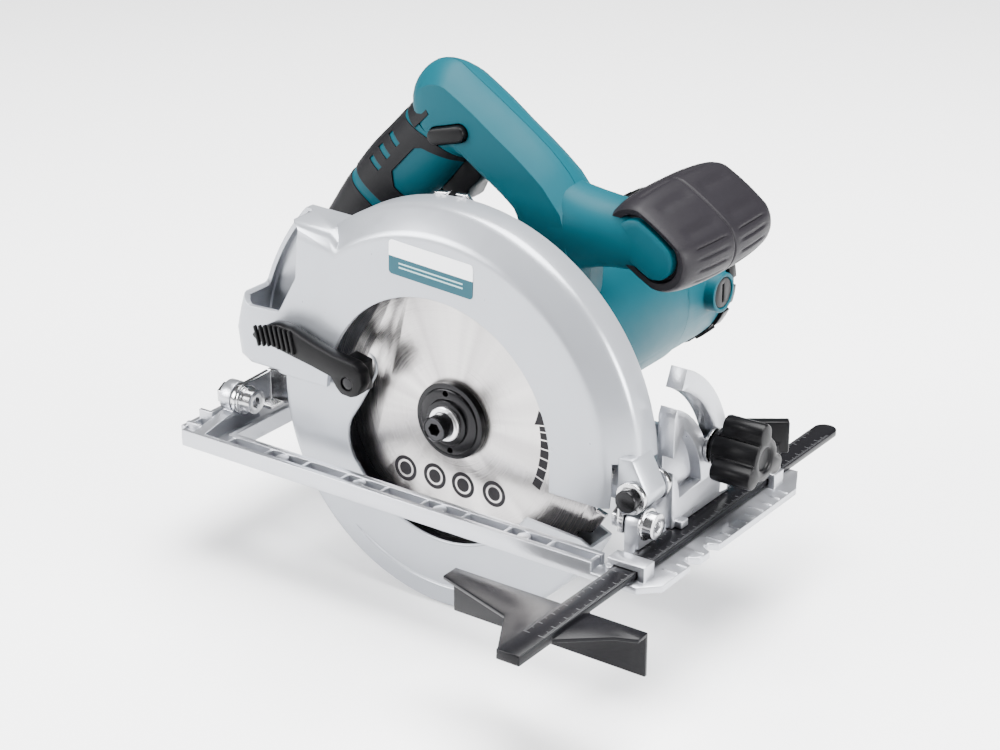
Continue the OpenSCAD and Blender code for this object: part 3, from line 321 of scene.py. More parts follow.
guard_silver = cast("guard_silver", (0.33, 0.345, 0.375), 0.3, 0.5, 0.00002)
cutout_r = 68
pin_lo, pin_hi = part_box("depth_pin")
depth_x, depth_z = (pin_lo.x + pin_hi.x) * 500, (pin_lo.z + pin_hi.z) * 500
bolt_lo, bolt_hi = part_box("depth_bolt")
bolt_x, bolt_z = (bolt_lo.x + bolt_hi.x) * 500, (bolt_lo.z + bolt_hi.z) * 500


def slab(outline, y0, y1):
    """Prism along Y over an outline given as (x, z) in millimetres."""
    shape = bmesh.new()
    face = shape.faces.new([shape.verts.new(at(x, y0, z)) for x, z in outline])
    grown = bmesh.ops.extrude_face_region(shape, geom=[face])["geom"]
    bmesh.ops.translate(shape, verts=[v for v in grown if isinstance(v, bmesh.types.BMVert)],
                        vec=(0, (y1 - y0) / 1000, 0))
    return shape


def skin(rings, closed=True):
    """Surface drawn through rings of points, each extruded from the one before it."""
    shape = bmesh.new()
    row = [shape.verts.new(p) for p in rings[0]]
    loop = [shape.edges.new(pair) for pair in zip(row, row[1:] + row[:1])]
    if closed:
        shape.faces.new(row)
    for ring in rings[1:]:
        grown = bmesh.ops.extrude_edge_only(shape, edges=loop)["geom"]
        new = {v for v in grown if isinstance(v, bmesh.types.BMVert)}
        row = [next(e.other_vert(v) for e in v.link_edges if e.other_vert(v) in new) for v in row]
        for vert, point in zip(row, ring):
            vert.co = point
        loop = [shape.edges.get(pair) for pair in zip(row, row[1:] + row[:1])]
    if closed:
        shape.faces.new(row)
    bmesh.ops.remove_doubles(shape, verts=shape.verts, dist=1e-7)
    return shape


def work_objects(name, shapes):
    """Objects that only serve to join or cut shapes."""
    work = []
    for i, shape in enumerate(shapes):
        mesh = bpy.data.meshes.new(f"{name}_{i}")
        bmesh.ops.recalc_face_normals(shape, faces=shape.faces)
        shape.to_mesh(mesh)
        shape.free()
        work.append(bpy.data.objects.new(f"{name}_{i}", mesh))
        bpy.context.collection.objects.link(work[-1])
    return work


def combined(name, shapes, operation="UNION"):
    """The first shape with each of the others joined to it, taken away from it, or only what they share."""
    work = work_objects(name, shapes)
    for other in work[1:]:
        step = work[0].modifiers.new("step", "BOOLEAN")
        step.operation, step.solver, step.object = operation, "EXACT", other
    evaluated = work[0].evaluated_get(bpy.context.evaluated_depsgraph_get())
    shape = bmesh.new()
    shape.from_mesh(evaluated.to_mesh())
    evaluated.to_mesh_clear()
    for thing in work:
        mesh = thing.data
        bpy.data.objects.remove(thing)
        bpy.data.meshes.remove(mesh)
    return shape


def disc(x, z, radius, y0, y1, count=32):
    """Round bar along Y."""
    turns = [2 * pi * i / count for i in range(count)]
    return slab([(x + radius * cos(a), z + radius * sin(a)) for a in turns], y0, y1)


def arc(radius, start, end, count=24):
    """Points of an arc round the arbor, with the angles in degrees."""
    turns = [radians(start + (end - start) * i / count) for i in range(count + 1)]
    return [(radius * cos(a), arbor_z + radius * sin(a)) for a in turns]


def turned(profile, count=144, x=0.0, z=None):
    """Solid turned on an axis along Y, from the (y, radius) points of its profile."""
    middle = arbor_z if z is None else z
    turns = [2 * pi * i / count for i in range(count)]
    return skin([[at(x + r * cos(a), y, middle + r * sin(a)) for a in turns] for y, r in profile])


def guard_body(inset):
    """Turned shell of the guard cut off below, joined to the chip duct behind it."""
    face = [(y + inset, r - inset) for y, r in ((-16, 96), (-15.8, 98.2), (-15.2, 99.8), (-14.2, 101.2))]
    rim = [(-7 + inset * 0.5, 109.6 - inset), (-5.6, 111 - inset), (-4, 111.8 - inset), (-2, 112 - inset),
           (10.6 - inset, 112 - inset), (11.6 - inset, 111.4 - inset), (12 - inset, 110.4 - inset)]
    kept = slab(arc(150, 4, 176) + [
        (-150, 45.5 + inset), (-30, 45.5 + inset), (40, 25 + inset), (front_x - inset, 25 + inset),
        (front_x - inset, 47.5 + inset), (150, 47.5 + inset)], -40, 40)
    wide = arc(131 - inset, 137, 170, 12) + [
        (-127 + inset, 49 + inset), (-120 + inset, 45.5 + inset), (-40, 45.5 + inset), (-40, 110),
        (-66, 128.5 - inset)]
    narrow = arc(125.6 - inset, 139, 168, 12) + [
        (-121 + inset, 51 + inset), (-116 + inset, 47.5 + inset), (-40, 46.8 + inset), (-40, 105),
        (-62, 116 - inset)]
    steps = ((-16 + inset, 0.0), (-15.6 + inset, 0.3), (-14.6 + inset, 0.66), (-13 + inset, 0.88),
             (-11, 1.0), (11 - inset, 1.0), (12 - inset, 0.85))
    duct = skin([[at(a + (c - a) * k, y, b + (d - b) * k) for (a, b), (c, d) in zip(narrow, wide)]
                 for y, k in steps])
    shell = combined("guard_shell", [turned(face + rim), kept], "INTERSECT")
    return combined("guard_body", [shell, duct])


wall = 2.5
front_x = 102.5
hub_r = 22
lug_r = 7.2
lug_turns = [radians(-150 + 12 * i) for i in range(15)]
lug = slab([(depth_x + lug_r * cos(a), depth_z + lug_r * sin(a)) for a in lug_turns]
           + [(111.4, 52), (101, 52), (101, depth_z - 5)], -11.4, 6)
opening = [(cutout_r * cos(a), arbor_z + cutout_r * sin(a)) for a in (radians(i * 4) for i in range(46))]
opening += [(-65, arbor_z), (-65, 0), (cutout_r, 0)]
outlet = slab([(-84, 126), (-86, 100), (-98, 79), (-118, 78), (-140, 100), (-110, 140)], -20, 5.5)
underside = slab([(-127.5, 0), (104, 0), (104, 48.1), (-127.5, 48.1)], -13.5, 9.5)
guard = combined("guard", [guard_body(0), turned([(5.4, hub_r), (19, hub_r)]), rounded(lug, 1.5)])
hub_core = turned([(5.4, hub_r + 1), (20, hub_r + 1)])
hollow = combined("guard_hollow", [guard_body(wall), hub_core], "DIFFERENCE")
bearing_seat = [turned([(0, 10), (8, 10)]), turned([(7, 17.5), (20, 17.5)])]
pin_hole_r = 3.6
pin_holes = [turned([(-20, pin_hole_r), (20, pin_hole_r)], 32, depth_x, depth_z),
             turned([(5, pin_hole_r), (20, pin_hole_r)], 32, bolt_x, bolt_z)]
guard = combined("guard_cuts", [guard, hollow, underside, slab(opening, -17, -12.5), rounded(outlet, 2)]
                 + bearing_seat + pin_holes, "DIFFERENCE")
finished("guard_casting", guard, guard_silver, "saw_body", ["upper_guard"])

# ---------- guard label ----------
# Printed film with round corners, plain white above and a teal band below with two fine lines.

label_corners = [(-26, 134), (24, 131), (23.5, 113.5), (-26.5, 116.5)]
label_print = Finish("guard_label_print", "white_label", Roughness=0.3, Specular_IOR_Level=0.2)
x, y, z = label_print.axes()
label_z, label_high, label_slope = 125.25, 17.6, 0.06
height = (z * 1000 - label_z + x * 1000 * label_slope) / label_high + 0.5
band_top, line_half, line_reach = 0.44, 0.022, 19
band = height < band_top
stripes = (abs(height - 0.28) < line_half) + (abs(height - 0.16) < line_half)
within = abs(x * 1000 + 1.2) < line_reach
label_print.set("Base Color", label_print.mix(band, (0.83, 0.84, 0.86), label_print.mix(
    stripes * within, (0.002, 0.05, 0.07), (0.3, 0.45, 0.47))))


def round_corners(corners, radius, steps=5):
    """Outline with an arc at each corner, for corners near a right angle."""
    points = []
    for i, (x, z) in enumerate(corners):
        (ax, az), (bx, bz) = corners[i - 1], corners[(i + 1) % len(corners)]
        back, on = hypot(ax - x, az - z), hypot(bx - x, bz - z)
        start = (x + (ax - x) / back * radius, z + (az - z) / back * radius)
        end = (x + (bx - x) / on * radius, z + (bz - z) / on * radius)
        for k in range(steps + 1):
            t = k / steps
            points.append(tuple((1 - t) ** 2 * s + 2 * t * (1 - t) * c + t * t * e
                                for s, c, e in zip(start, (x, z), end)))
    return points


finished("guard_label", slab(round_corners(label_corners, 2.2), -16.28, -15.9), label_print, "saw_body",
         ["rating_label"])

black_rubber = moulded("black_rubber", (0.004, 0.004, 0.005), 0.48, 0.00006)
coat(black_rubber, "guard_bumper")

# ---------- lower guard ----------
# Thin painted shell that swings round the arbor's hub. Its front wall is cut away in a wave, and a raised arc
# stiffens it.


def merged(whole, part):
    """Adds a part's faces to a shape."""
    mesh = bpy.data.meshes.new("part")
    part.to_mesh(mesh)
    part.free()
    whole.from_mesh(mesh)
    bpy.data.meshes.remove(mesh)
    return whole


def bead(path, y, radius):
    """Raised round line along a path given as (x, z), with tapered ends."""
    rings = []
    for i, (x, z) in enumerate(path):
        (ax, az), (bx, bz) = path[max(i - 1, 0)], path[min(i + 1, len(path) - 1)]
        run = hypot(bx - ax, bz - az)
        r = radius * min(1.0, 0.15 + min(i, len(path) - 1 - i) / 3)
        rings.append([at(x + r * cos(a) * (bz - az) / run, y - r * sin(a), z - r * cos(a) * (bx - ax) / run)
                      for a in (2 * pi * k / 12 for k in range(12))])
    return skin(rings)


def eased(points, steps=4):
    """Smooth curve through points."""
    curve = []
    for i in range(len(points) - 1):
        a, b, c, d = (points[max(0, min(len(points) - 1, i + k))] for k in (-1, 0, 1, 2))
        for k in range(steps):
            t = k / steps
            curve.append(tuple(0.5 * (2 * q + (r - p) * t + (2 * p - 5 * q + 4 * r - s) * t * t
                                      + (3 * q - p - 3 * r + s) * t ** 3) for p, q, r, s in zip(a, b, c, d)))
    return curve + [points[-1]]


wave = eased([(-43.5, 69), (-39.6, 66), (-38.8, 60), (-42, 53), (-46, 46), (-51, 37.5), (-56, 29.5),
              (-57.8, 22), (-57.2, 14.5), (-53.6, 6.8)])
wave += arc(62.5, -147, -34, 40)
shell = combined("lower_shell", [
    turned([(-12, 95.6), (-11.9, 97), (-11.4, 98.1), (-10.6, 98.5), (6.2, 98.5), (6.9, 98.1), (7.2, 97)]),
    slab(arc(150, -190, -24) + [(0, arbor_z)], -20, 20)], "INTERSECT")
hub = turned([(4.6, 31), (7.2, 31), (7.21, 26), (9, 26)], 72)
lower = combined("lower_cuts", [
    combined("lower_hub", [shell, hub]), turned([(-10.4, 96.8), (5.6, 96.8)]),
    slab(wave + [(130, 0), (130, 160), (-52, 160), (-52, 71)], -14, -10.2),
    turned([(0, 22.1), (12, 22.1)], 72)], "DIFFERENCE")
merged(lower, bead(wave, -11.9, 0.75))
merged(lower, bead(arc(88, -128, -66, 32), -12, 1.0))
finished("lower_guard_shell", lower, guard_silver, "swing_guard", ["lower_guard"])
coat(dark_steel, "guard_spring", "guard_circlip")

# ---------- retracting lever ----------
# Black nylon lever screwed to the lower guard, with ribs for the thumb.

lever_outline = [(-41, 68.4), (-55, 70.3), (-65, 72.4), (-74, 74.9), (-81, 77.4), (-87.5, 78.6),
                 (-93.5, 77.6), (-98.8, 74.9), (-104, 71.6), (-107, 68.6), (-103.5, 66.2), (-96.6, 65.6),
                 (-88, 64.2), (-81, 62.9), (-68, 60.6), (-55.5, 57.9), (-52.4, 53.2), (-49.4, 50.2),
                 (-43, 49.7), (-38.4, 52), (-35.5, 58), (-36.5, 65)]


def oval(start, end, radius, count=10):
    """Outline of a slot with round ends."""
    turn = atan2(end[1] - start[1], end[0] - start[0])
    arcs = [(centre, turn + pi / 2 + first + pi * i / count) for centre, first in ((start, 0), (end, pi))
            for i in range(count + 1)]
    return [(centre[0] + radius * cos(a), centre[1] + radius * sin(a)) for centre, a in arcs]


lever_arm = rounded(slab(lever_outline, -28, -20), 1.6)
lever_foot = rounded(slab([(-51, 50.4), (-41, 50.4), (-40.6, 66.6), (-51, 68.4)], -24, -12), 0.7)
lever = combined("lever", [lever_arm, lever_foot])
lever = combined("lever_hole", [lever, disc(-45, 57, 3.7, -30, -25.4)], "DIFFERENCE")
first_rib, rib_step = -79.5, 3.2
for i in range(8):
    x = first_rib - rib_step * i
    mid = 70.9 + (0.25 * i if i < 4 else 1 - 0.9 * (i - 4)) * 0.8
    half = 5.4 - 0.12 * i * (i > 3)
    rib = slab(oval((x + 1.2, mid - half), (x - 1.2, mid + half), 0.8, 6), -29.3, -27.4)
    merged(lever, rounded(rib, 0.35, 50))
finished("thumb_lever", lever, black_plastic, "swing_guard", ["retract_lever"])
finished("lever_fixing_screw", softened("lever_screw", 0.4), dark_steel, "swing_guard", ["lever_screw"])

# ---------- gear housing ----------
# Aluminium casting bolted behind the guard. It holds the two gears, the arbor's bearings and the end of
# the armature.

coat(cast_aluminium, "gear_housing")
machined_steel = cast("machined_steel", (0.5, 0.5, 0.51), 0.28, 1.0, 0.00001)
coat(machined_steel, "arbor_bearing", "armature_front_bearing", "armature_rear_bearing", "bearing_retainer",
     "output_spindle", "drive_gear", "inner_flange", "armature_shaft")
bronze = cast("bronze", (0.5, 0.3, 0.12), 0.3, 1.0, 0.00002)
coat(bronze, "spindle_bush", "brush_holders")
coat(dark_steel, "housing_screws", "retainer_screws")
finished("lock_button", softened("spindle_lock", 0.8), black_plastic, "arbor_lock", ["spindle_lock"])

# ---------- motor ----------
# Teal moulded housing with a black end cap full of air slots, and inside it the stator, the armature on its
# shaft and the carbon brushes under their caps.

teal_plastic = moulded("teal_plastic", (0.0006, 0.05, 0.068), 0.5, 0.00002)
finished("motor_shell", softened("motor_housing", 0.8), teal_plastic, "saw_body", ["motor_housing"])
finished("end_cap", softened("motor_end_cap", 0.5), black_plastic, "saw_body", ["motor_end_cap"])
finished("caps_of_brushes", softened("brush_caps", 0.5), black_plastic, "saw_body", ["brush_caps"])
lamination = cast("lamination", (0.25, 0.25, 0.26), 0.4, 1.0, 0.00003)
coat(lamination, "stator_core", "armature_core")
copper = cast("copper", (0.6, 0.25, 0.12), 0.3, 1.0, 0.00002)
coat(copper, "field_coils", "commutator")
carbon = cast("carbon", (0.03, 0.03, 0.03), 0.6, 0.2, 0.00003)
coat(carbon, "carbon_brushes")
coat(black_plastic, "cooling_fan")

# ---------- blade and its clamp ----------
# Ground steel disc with brazed tips and four slots that let it expand, held between two flanges by a bolt.
# The print is only an arrow for the turning direction, its tail and four plain discs.

ground_steel = Finish("ground_blade", "blade_steel", Specular_IOR_Level=0.1)
x, y, z = ground_steel.axes()
x, z = x * 1000, z * 1000 - arbor_z
reach = (x * x + z * z) ** 0.5
turn = degrees(1) * x.maths("ARCTAN2", z, x)
tail_from, tail_sweep, tail_r, tail_half = 11, 36, 55, 2.5
span = (tail_from - turn) / tail_sweep
dashes = ((span + 0.001) ** 0.8 * 7) % 1.0 > 0.14
tail = (abs(reach - tail_r) < tail_half) * (span > 0) * (span < 1) * dashes
head = (turn > 11.5) * (abs(reach - 54.4) < (19.5 - turn) * 0.58)
marks = tail + head
disc_r, ring_r, ring_half = 7, 4.3, 0.55
for disc_x, disc_z in ((-30.1, 4.9), (-11.7, 5.5), (5.8, 5.4), (24.8, 5.9)):
    across, up = x - disc_x, z - (disc_z - arbor_z)
    far = (across * across + up * up) ** 0.5
    marks = marks + (far < disc_r) * (1 - (abs(far - ring_r) < ring_half))
printed = (marks > 0.5) * (y < blade_y - 0.0006)
grooves_of_grinding = ground_steel.node("ShaderNodeTexNoise", {"noise_dimensions": "1D"},
                                        {"W": reach, "Scale": 5.0, "Detail": 3.0})
# Painted reflection: the base colour turns lighter and darker in sectors round the arbor, standing in for the
# radial sheen of the ground steel.
painted_sheen_fan = ground_steel.node("ShaderNodeTexNoise", {"noise_dimensions": "1D"},
                        {"W": turn, "Scale": 0.05, "Detail": 2.0})
tone = ground_steel.mix(painted_sheen_fan, (0.22, 0.21, 0.21), (0.62, 0.60, 0.59))
ground_steel.set("Base Color", ground_steel.mix(printed, tone, (0.012, 0.011, 0.013)))
ground_steel.set("Metallic", 1 - printed)
ground_steel.set("Roughness", 0.2 + 0.12 * grooves_of_grinding + 0.2 * printed)
ground_steel.relief(grooves_of_grinding, 0.00003, 0.0001)
blade = softened("saw_blade", 0.08)
slot_outline = ((96, -0.5), (96, 0.5), (76, 0.5), (75.4, 1.6), (74, 2.2), (72.6, 1.6), (72, 0), (72.6, -1.6),
                (74, -2.2), (75.4, -1.6), (76, -0.5))
slots = []
for i in range(4):
    turn = radians(43 + 90 * i)
    slots.append(slab([(r * cos(turn) - s * sin(turn), arbor_z + r * sin(turn) + s * cos(turn))
                       for r, s in slot_outline], -3, 3))
slotted = combined("blade_slots", [blade] + slots, "DIFFERENCE")
finished("toothed_disc", slotted, ground_steel, "arbor", ["saw_blade"])
flange = turned([(-0.75, 20), (-3.6, 20), (-3.9, 19.9), (-4.0, 19.6), (-4.1, 17.4), (-4.9, 17.1),
                 (-5.2, 16.6), (-5.3, 12.2), (-6.4, 11.9), (-6.8, 11.7), (-7, 11.2)], 96)
spanner_r = 15.0
spanner_turns = [radians(a) for a in (95, 275)]
holes = [turned([(-10, 1.6), (-2.5, 1.6)], 24, spanner_r * cos(a), arbor_z + spanner_r * sin(a))
         for a in spanner_turns]
bore = turned([(-9, 4.1), (-5.6, 4.1), (-5.59, 7.02), (0, 7.02)], 48)
flange = combined("flange", [flange, bore] + holes, "DIFFERENCE")
finished("clamping_flange", flange, dark_steel, "arbor", ["outer_flange"])
bolt_finish = cast("bolt_finish", (0.02, 0.02, 0.022), 0.22, 0.8, 0.00002, slot="dark_steel")
x, y, z = bolt_finish.axes()
up = z - arbor_z / 1000
collar = (x * x + up * up) ** 0.5 > 0.0067
bolt_finish.set("Base Color", bolt_finish.mix(collar, (0.02, 0.02, 0.022), (0.7, 0.7, 0.71)))
bolt = turned([(-16.4, 5.6), (-17, 5.9), (-17, 6.1), (-16.6, 6.5), (-9, 6.5), (-8.8, 6.9), (-8.8, 8.6),
               (-8.5, 9), (-7, 9), (-6.99, 4), (16, 4)], 64)
socket_r = 3.5
corners = [pi / 3 * i for i in range(6)]
socket = slab([(socket_r * cos(a), arbor_z + socket_r * sin(a)) for a in corners], -20, -12)
bolt = combined("bolt", [bolt, socket], "DIFFERENCE")
finished("clamping_bolt", bolt, bolt_finish, "arbor", ["arbor_bolt"])

# ---------- main handle ----------
# Two moulded halves in teal plastic, screwed together on the middle plane. They make a D: the grip at the
# rear, the head at the top, the arm down to the front and a post that stands on the motor.

handle_y = 55
half_ring = 20


def handle_ring(inner, outer, half, crease=0.8, sill=0.2, roofed=0.0):
    """Section of the handle between its inner and outer edge, from rounded to flat-sided with a low roof."""
    points = []
    for side in (-1, 1):
        for i in range(half_ring + 1) if side < 0 else range(half_ring - 1, 0, -1):
            a = pi * i / half_ring
            t_round = 0.5 + 0.5 * abs(cos(a)) ** 0.8 * (1 if cos(a) > 0 else -1)
            y_round = abs(sin(a)) ** 0.72
            if i <= 6:
                k = i / 6
                t_flat, y_flat = 1 - (1 - crease) * k ** 1.6, 0.95 * k
            elif i <= 12:
                k = (i - 6) / 6
                t_flat, y_flat = crease + (sill - crease) * k, 0.95 + 0.05 * sin(pi * k * 0.5)
            else:
                k = (i - 12) / 8
                t_flat, y_flat = sill * (1 - sin(pi / 2 * k)), cos(pi / 2 * k) ** 0.7
            t = t_round + (t_flat - t_round) * roofed
            y = (y_round + (y_flat - y_round) * roofed) * half * side
            x, z = (a + (b - a) * t for a, b in zip(inner, outer))
            points.append(at(x, handle_y + y, z))
    return points


grip_top, grip_run = (-37, 183), (-0.6214, -0.7835)
arm_top, arm_run = (-41, 187), (0.85, -0.527)
head_r = 17.6


def beside(start, run, along, off):
    """Point at a distance along a line from its start, and at a distance to its left."""
    (x, z), (run_x, run_z) = start, run
    return (x + run_x * along - run_z * off, z + run_z * along + run_x * off)


def grip_at(along, off):
    """Point on the grip, measured down it and towards the trigger."""
    return beside(grip_top, grip_run, along, off)


def arm_at(along, off):
    """Point on the arm, measured forward along it and upward."""
    return beside(arm_top, arm_run, along, off)


def head_at(angle):
    """Point on the round outer edge of the head."""
    return (arm_top[0] + head_r * cos(radians(angle)), arm_top[1] + head_r * sin(radians(angle)))


grip_rows = [(126, 3, -3, 5), (125, 8.5, -8.5, 10), (122, 13, -13, 14), (117, 16, -16, 16.5),
             (108, 17.5, -17.5, 17.8), (98, 17.5, -18, 18), (88, 17.5, -19, 18), (78, 17.5, -19.8, 18),
             (68, 17.8, -20, 18), (58, 19, -20, 18.2), (50, 21.5, -19.6, 18.5), (43, 24.5, -18.9, 18.6),
             (36, 26, -18, 18.6), (28, 26.6, -17.2, 18.6), (20, 26.8, -16.4, 18.6), (14, 26.8, -15.8, 18.6)]
grip_rings = [handle_ring(grip_at(a, i), grip_at(a, o), w, roofed=0.0) for a, i, o, w in grip_rows]
head_rings = [handle_ring(grip_at(10, 27.5), head_at(angle), 18.6, 0.8, 0.2, k)
              for angle, k in ((212, 0.03), (200, 0.06), (188, 0.12), (176, 0.2), (164, 0.32), (152, 0.46),
                               (140, 0.6), (128, 0.74), (116, 0.86), (104, 0.95), (92, 1), (80, 1), (68, 1))]
arm_rows = [(32.6, -14.6, 10, 17.3, 18.4, 0.81, 0.19), (34, -14.7, 20, 17.3, 18.3, 0.81, 0.19),
            (37, -14.8, 30, 17.2, 18.2, 0.80, 0.18), (42, -15, 40, 17, 18.1, 0.79, 0.18),
            (49, -15, 50, 16.7, 18, 0.79, 0.18), (57, -15.2, 60, 16, 18, 0.79, 0.18),
            (62, -15.6, 68, 14.8, 18, 0.8, 0.18), (65, -16, 76, 13, 18, 0.82, 0.18)]
arm_rings = [handle_ring(arm_at(a, i), arm_at(b, o), w, c, s, 1) for a, i, b, o, w, c, s in arm_rows]
post_rows = [((6.5, 140), (36.5, 149.5), 0.84), ((8.3, 136.5), (40.5, 144), 0.86),
             ((9.6, 132), (42, 137), 0.88), ((10.6, 126), (42.6, 129), 0.9), ((11.2, 118), (43, 120), 0.9),
             ((11.2, 108), (43, 109), 0.9), ((9, 97), (42.5, 97), 0.9), ((8, 86), (40, 86), 0.9)]
post_rings = [handle_ring(inner, outer, 18, c, 0.14, 1) for inner, outer, c in post_rows]

loop = skin(grip_rings + head_rings + arm_rings + post_rings)
heel_rows = [(-112, 88, 9), (-108, 87, 12.5), (-100, 85, 14), (-90, 82, 14.2), (-78, 79, 14), (-64, 75, 14),
             (-50, 71, 14), (-36, 68, 14)]
heel = skin([handle_ring((x + 3, z - r), (x - 3, z + r), 15 if r > 10 else 10, roofed=0.2)
             for x, z, r in heel_rows])


def half_of(shape, y, keep_above):
    """The part of a solid on one side of a plane across Y, closed again."""
    part = shape.copy()
    bmesh.ops.bisect_plane(part, geom=part.verts[:] + part.edges[:] + part.faces[:], plane_co=at(0, y, 0),
                           plane_no=(0, 1, 0), clear_inner=keep_above, clear_outer=not keep_above)
    bmesh.ops.holes_fill(part, edges=[e for e in part.edges if e.is_boundary], sides=0)
    return part


button_ends = grip_at(-1.6, 17.2), grip_at(10.2, 8.6)
cap_lo, cap_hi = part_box("motor_end_cap")
motor_x, motor_z = (cap_lo.x + cap_hi.x) * 500, (cap_lo.z + cap_hi.z) * 500
screw_places = [(-43, 195), (26, 142), (-2, 166), (-105, 106), (-71, 77)]
trigger_slot = [grip_at(-1, 16), grip_at(-1, 28), grip_at(4, 36), grip_at(12.5, 38.5), grip_at(13, 60),
                grip_at(40.4, 60), grip_at(40.4, 16)]
solid = combined("handle", [loop, heel])
head_bore = (3.7, 69.4, 80)
bores = [disc(x, z, *head_bore) for x, z in screw_places]
motor_room = 42
trigger_gap = (45.4, 64.6)


def saddle():
    """Room for the motor housing."""
    return turned([(30, motor_room), (190, motor_room)], 96, motor_x, motor_z)


button_slot = slab(oval(*button_ends, 4.9), 30, 47.5)
solid = combined("handle_cuts", [solid, slab(trigger_slot, *trigger_gap), button_slot, saddle()] + bores,
                 "DIFFERENCE")
half_gap = 0.13
right_half = half_of(solid, handle_y - half_gap, False)
left_half = half_of(solid, handle_y + half_gap, True)
finished("handle_right_half", right_half, teal_plastic, "saw_body", ["handle_right"])
finished("handle_left_half", left_half, teal_plastic, "saw_body", ["handle_left"])
solid.free()

# ---------- grip overmould ----------
# Soft black rubber moulded over the grip, with windows that show the teal plastic under it.


def swollen(row, by):
    a, i, o, w = row
    return handle_ring(grip_at(a, i + by), grip_at(a, o - by), w + by)


sleeve_rows = [row for row in grip_rows if row[0] < 126]
sleeve_rows += [(9, 27, -15.3, 18.6), (4, 27.2, -15, 18.6), (-1, 27.4, -14.8, 18.6), (-6, 27.4, -14.8, 18.6)]
outlines = [
    [(1.2, -30), (2.2, -12), (5.4, -1.5), (17.4, -3.2), (17.4, -30)],
    [(22, -30), (20.5, -12), (15, 6), (11, 24), (11, 27.4), (13.8, 28), (14, 24), (22, 6.2), (25.6, 3.2),
     (46, 1.2), (52, 7), (55, 34), (64, 34), (65.2, 5), (66.5, -14), (67.5, -30)],
    [(73.8, -30), (72.6, -14), (71.5, 0), (70.5, 34), (118, 34), (121, -30)]]
rubber_over, rubber_under = 0.7, 0.6
heel_screw = screw_places[3]
sleeve_parts = []
for number, outline in enumerate(outlines):
    sleeve = skin([swollen(row, rubber_over) for row in sleeve_rows])
    pattern = slab([grip_at(a, o) for a, o in outline], 20, 90)
    part = combined(f"sleeve_{number}", [sleeve, pattern], "INTERSECT")
    core_rows = [(127, 3, -3, 5)] + sleeve_rows + [(-9, 27.4, -14.8, 18.6)]
    core = skin([swollen(row, -rubber_under) for row in core_rows])
    tools = [core, disc(*heel_screw, *head_bore)]
    if number == 1:
        for near, far in ((30.8, 35.4), (40.2, 45), (49.4, 54)):
            for low_y, high_y in ((20, handle_y), (handle_y, 90)):
                window = [grip_at(near, -4.4), grip_at(far - 1, -4.8), grip_at(far, -13.6),
                          grip_at(near + 0.8, -13)]
                tools.append(slab(window, low_y, high_y))
        tools.append(slab(trigger_slot, *trigger_gap))
    sleeve_parts.append(combined(f"sleeve_cut_{number}", [part] + tools, "DIFFERENCE"))
whole = sleeve_parts[0]
for part in sleeve_parts[1:]:
    merged(whole, part)
finished("grip_rubber", whole, black_rubber, "saw_body", ["grip_overmould"])

# ---------- front grip ----------
# A teal core that grows out of the post, and a rubber barrel with grooves along it and a ring at its middle.

neck_rows = [(22, 56, 127, 18.5, 29), (30, 56, 129.5, 19, 25), (37, 56.6, 131, 19.2, 21.8),
             (44, 57.6, 132, 19, 19.2), (51, 59, 132.2, 18.6, 17.6), (58, 60.6, 132, 17.8, 16.6),
             (66, 62, 131.4, 17, 16), (74, 63, 130, 15, 15)]
neck_rings = [[at(x, cy + hy * abs(cos(a)) ** 0.85 * (1 if cos(a) > 0 else -1),
                  cz + hz * abs(sin(a)) ** 0.9 * (1 if sin(a) > 0 else -1))
               for a in (2 * pi * i / 48 for i in range(48))] for x, cy, cz, hy, hz in neck_rows]
grip_x, grip_z, tilt = 78, 131, radians(-33)
half_flat, end_r = 11, 17


def barrel_ring(y, size, inset=0.0, grooves=None, count=132):
    """Flat-oval section of the front grip, square to Y."""
    points = []
    for i in range(count):
        a = 2 * pi * i / count
        x = (half_flat * (1 if cos(a) > 0 else -1) * min(1, abs(cos(a)) * 3) + end_r * cos(a)) * size
        z = end_r * sin(a) * size
        depth = inset + (grooves(a, y) if grooves else 0)
        x, z = x - depth * cos(a), z - depth * sin(a)
        points.append(at(grip_x + x * cos(tilt) - z * sin(tilt), y, grip_z + x * sin(tilt) + z * cos(tilt)))
    return points


def barrel_size(y):
    k = (y - 91) / 44
    return 0.78 + 0.22 * sqrt(max(0.0, 1 - abs(k) ** 2.4))


groove_angles = [radians(a) for a in (-28, -4, 20, 42, 60, 78, 100, 124, 150)]
groove_deep, groove_half = 1.1, 0.055
ring_deep, ring_wide = 0.7, 0.9


def grooves(a, y):
    near, far = (57, 87) if y < 90 else (94, 124)
    fade = max(0.0, min(1.0, (y - near) / 5)) * max(0.0, min(1.0, (far - y) / 5))
    depth = 0.0
    for g in groove_angles:
        gap = abs((a - g + pi) % (2 * pi) - pi)
        depth = max(depth, groove_deep * fade * max(0.0, 1 - gap / groove_half))
    ring = ring_deep * max(0.0, 1 - abs(y - 90) / ring_wide)
    return max(depth, ring)


grey_rubber = moulded("grey_rubber", (0.009, 0.008, 0.010), 0.46, 0.00008)
stations = [48.4, 48.8, 49.6, 51, 53, 55] + [57 + 1.5 * i for i in range(21)]
stations += [88.4, 89.1, 89.6, 90, 90.4, 90.9, 91.6]
stations += [93 + 1.5 * i for i in range(22)] + [126, 128, 130, 131.6, 133, 134, 134.6, 134.9]
barrel = []
for y in stations:
    size = barrel_size(y)
    if y > 128:
        size *= sqrt(max(0.0, 1 - ((y - 128) / 7.05) ** 2.6)) * 0.5 + 0.5
    if y < 50:
        size -= 0.02 * (50 - y) / 1.6
    barrel.append(barrel_ring(y, size, grooves=grooves))
lip = [barrel_ring(49.4, barrel_size(48.4) - 0.14), barrel_ring(52, barrel_size(48.4) - 0.17)]
barrel = skin(lip[::-1] + barrel)
finished("front_grip_rubber_barrel", barrel, grey_rubber, "saw_body", ["front_grip_rubber"], 50)
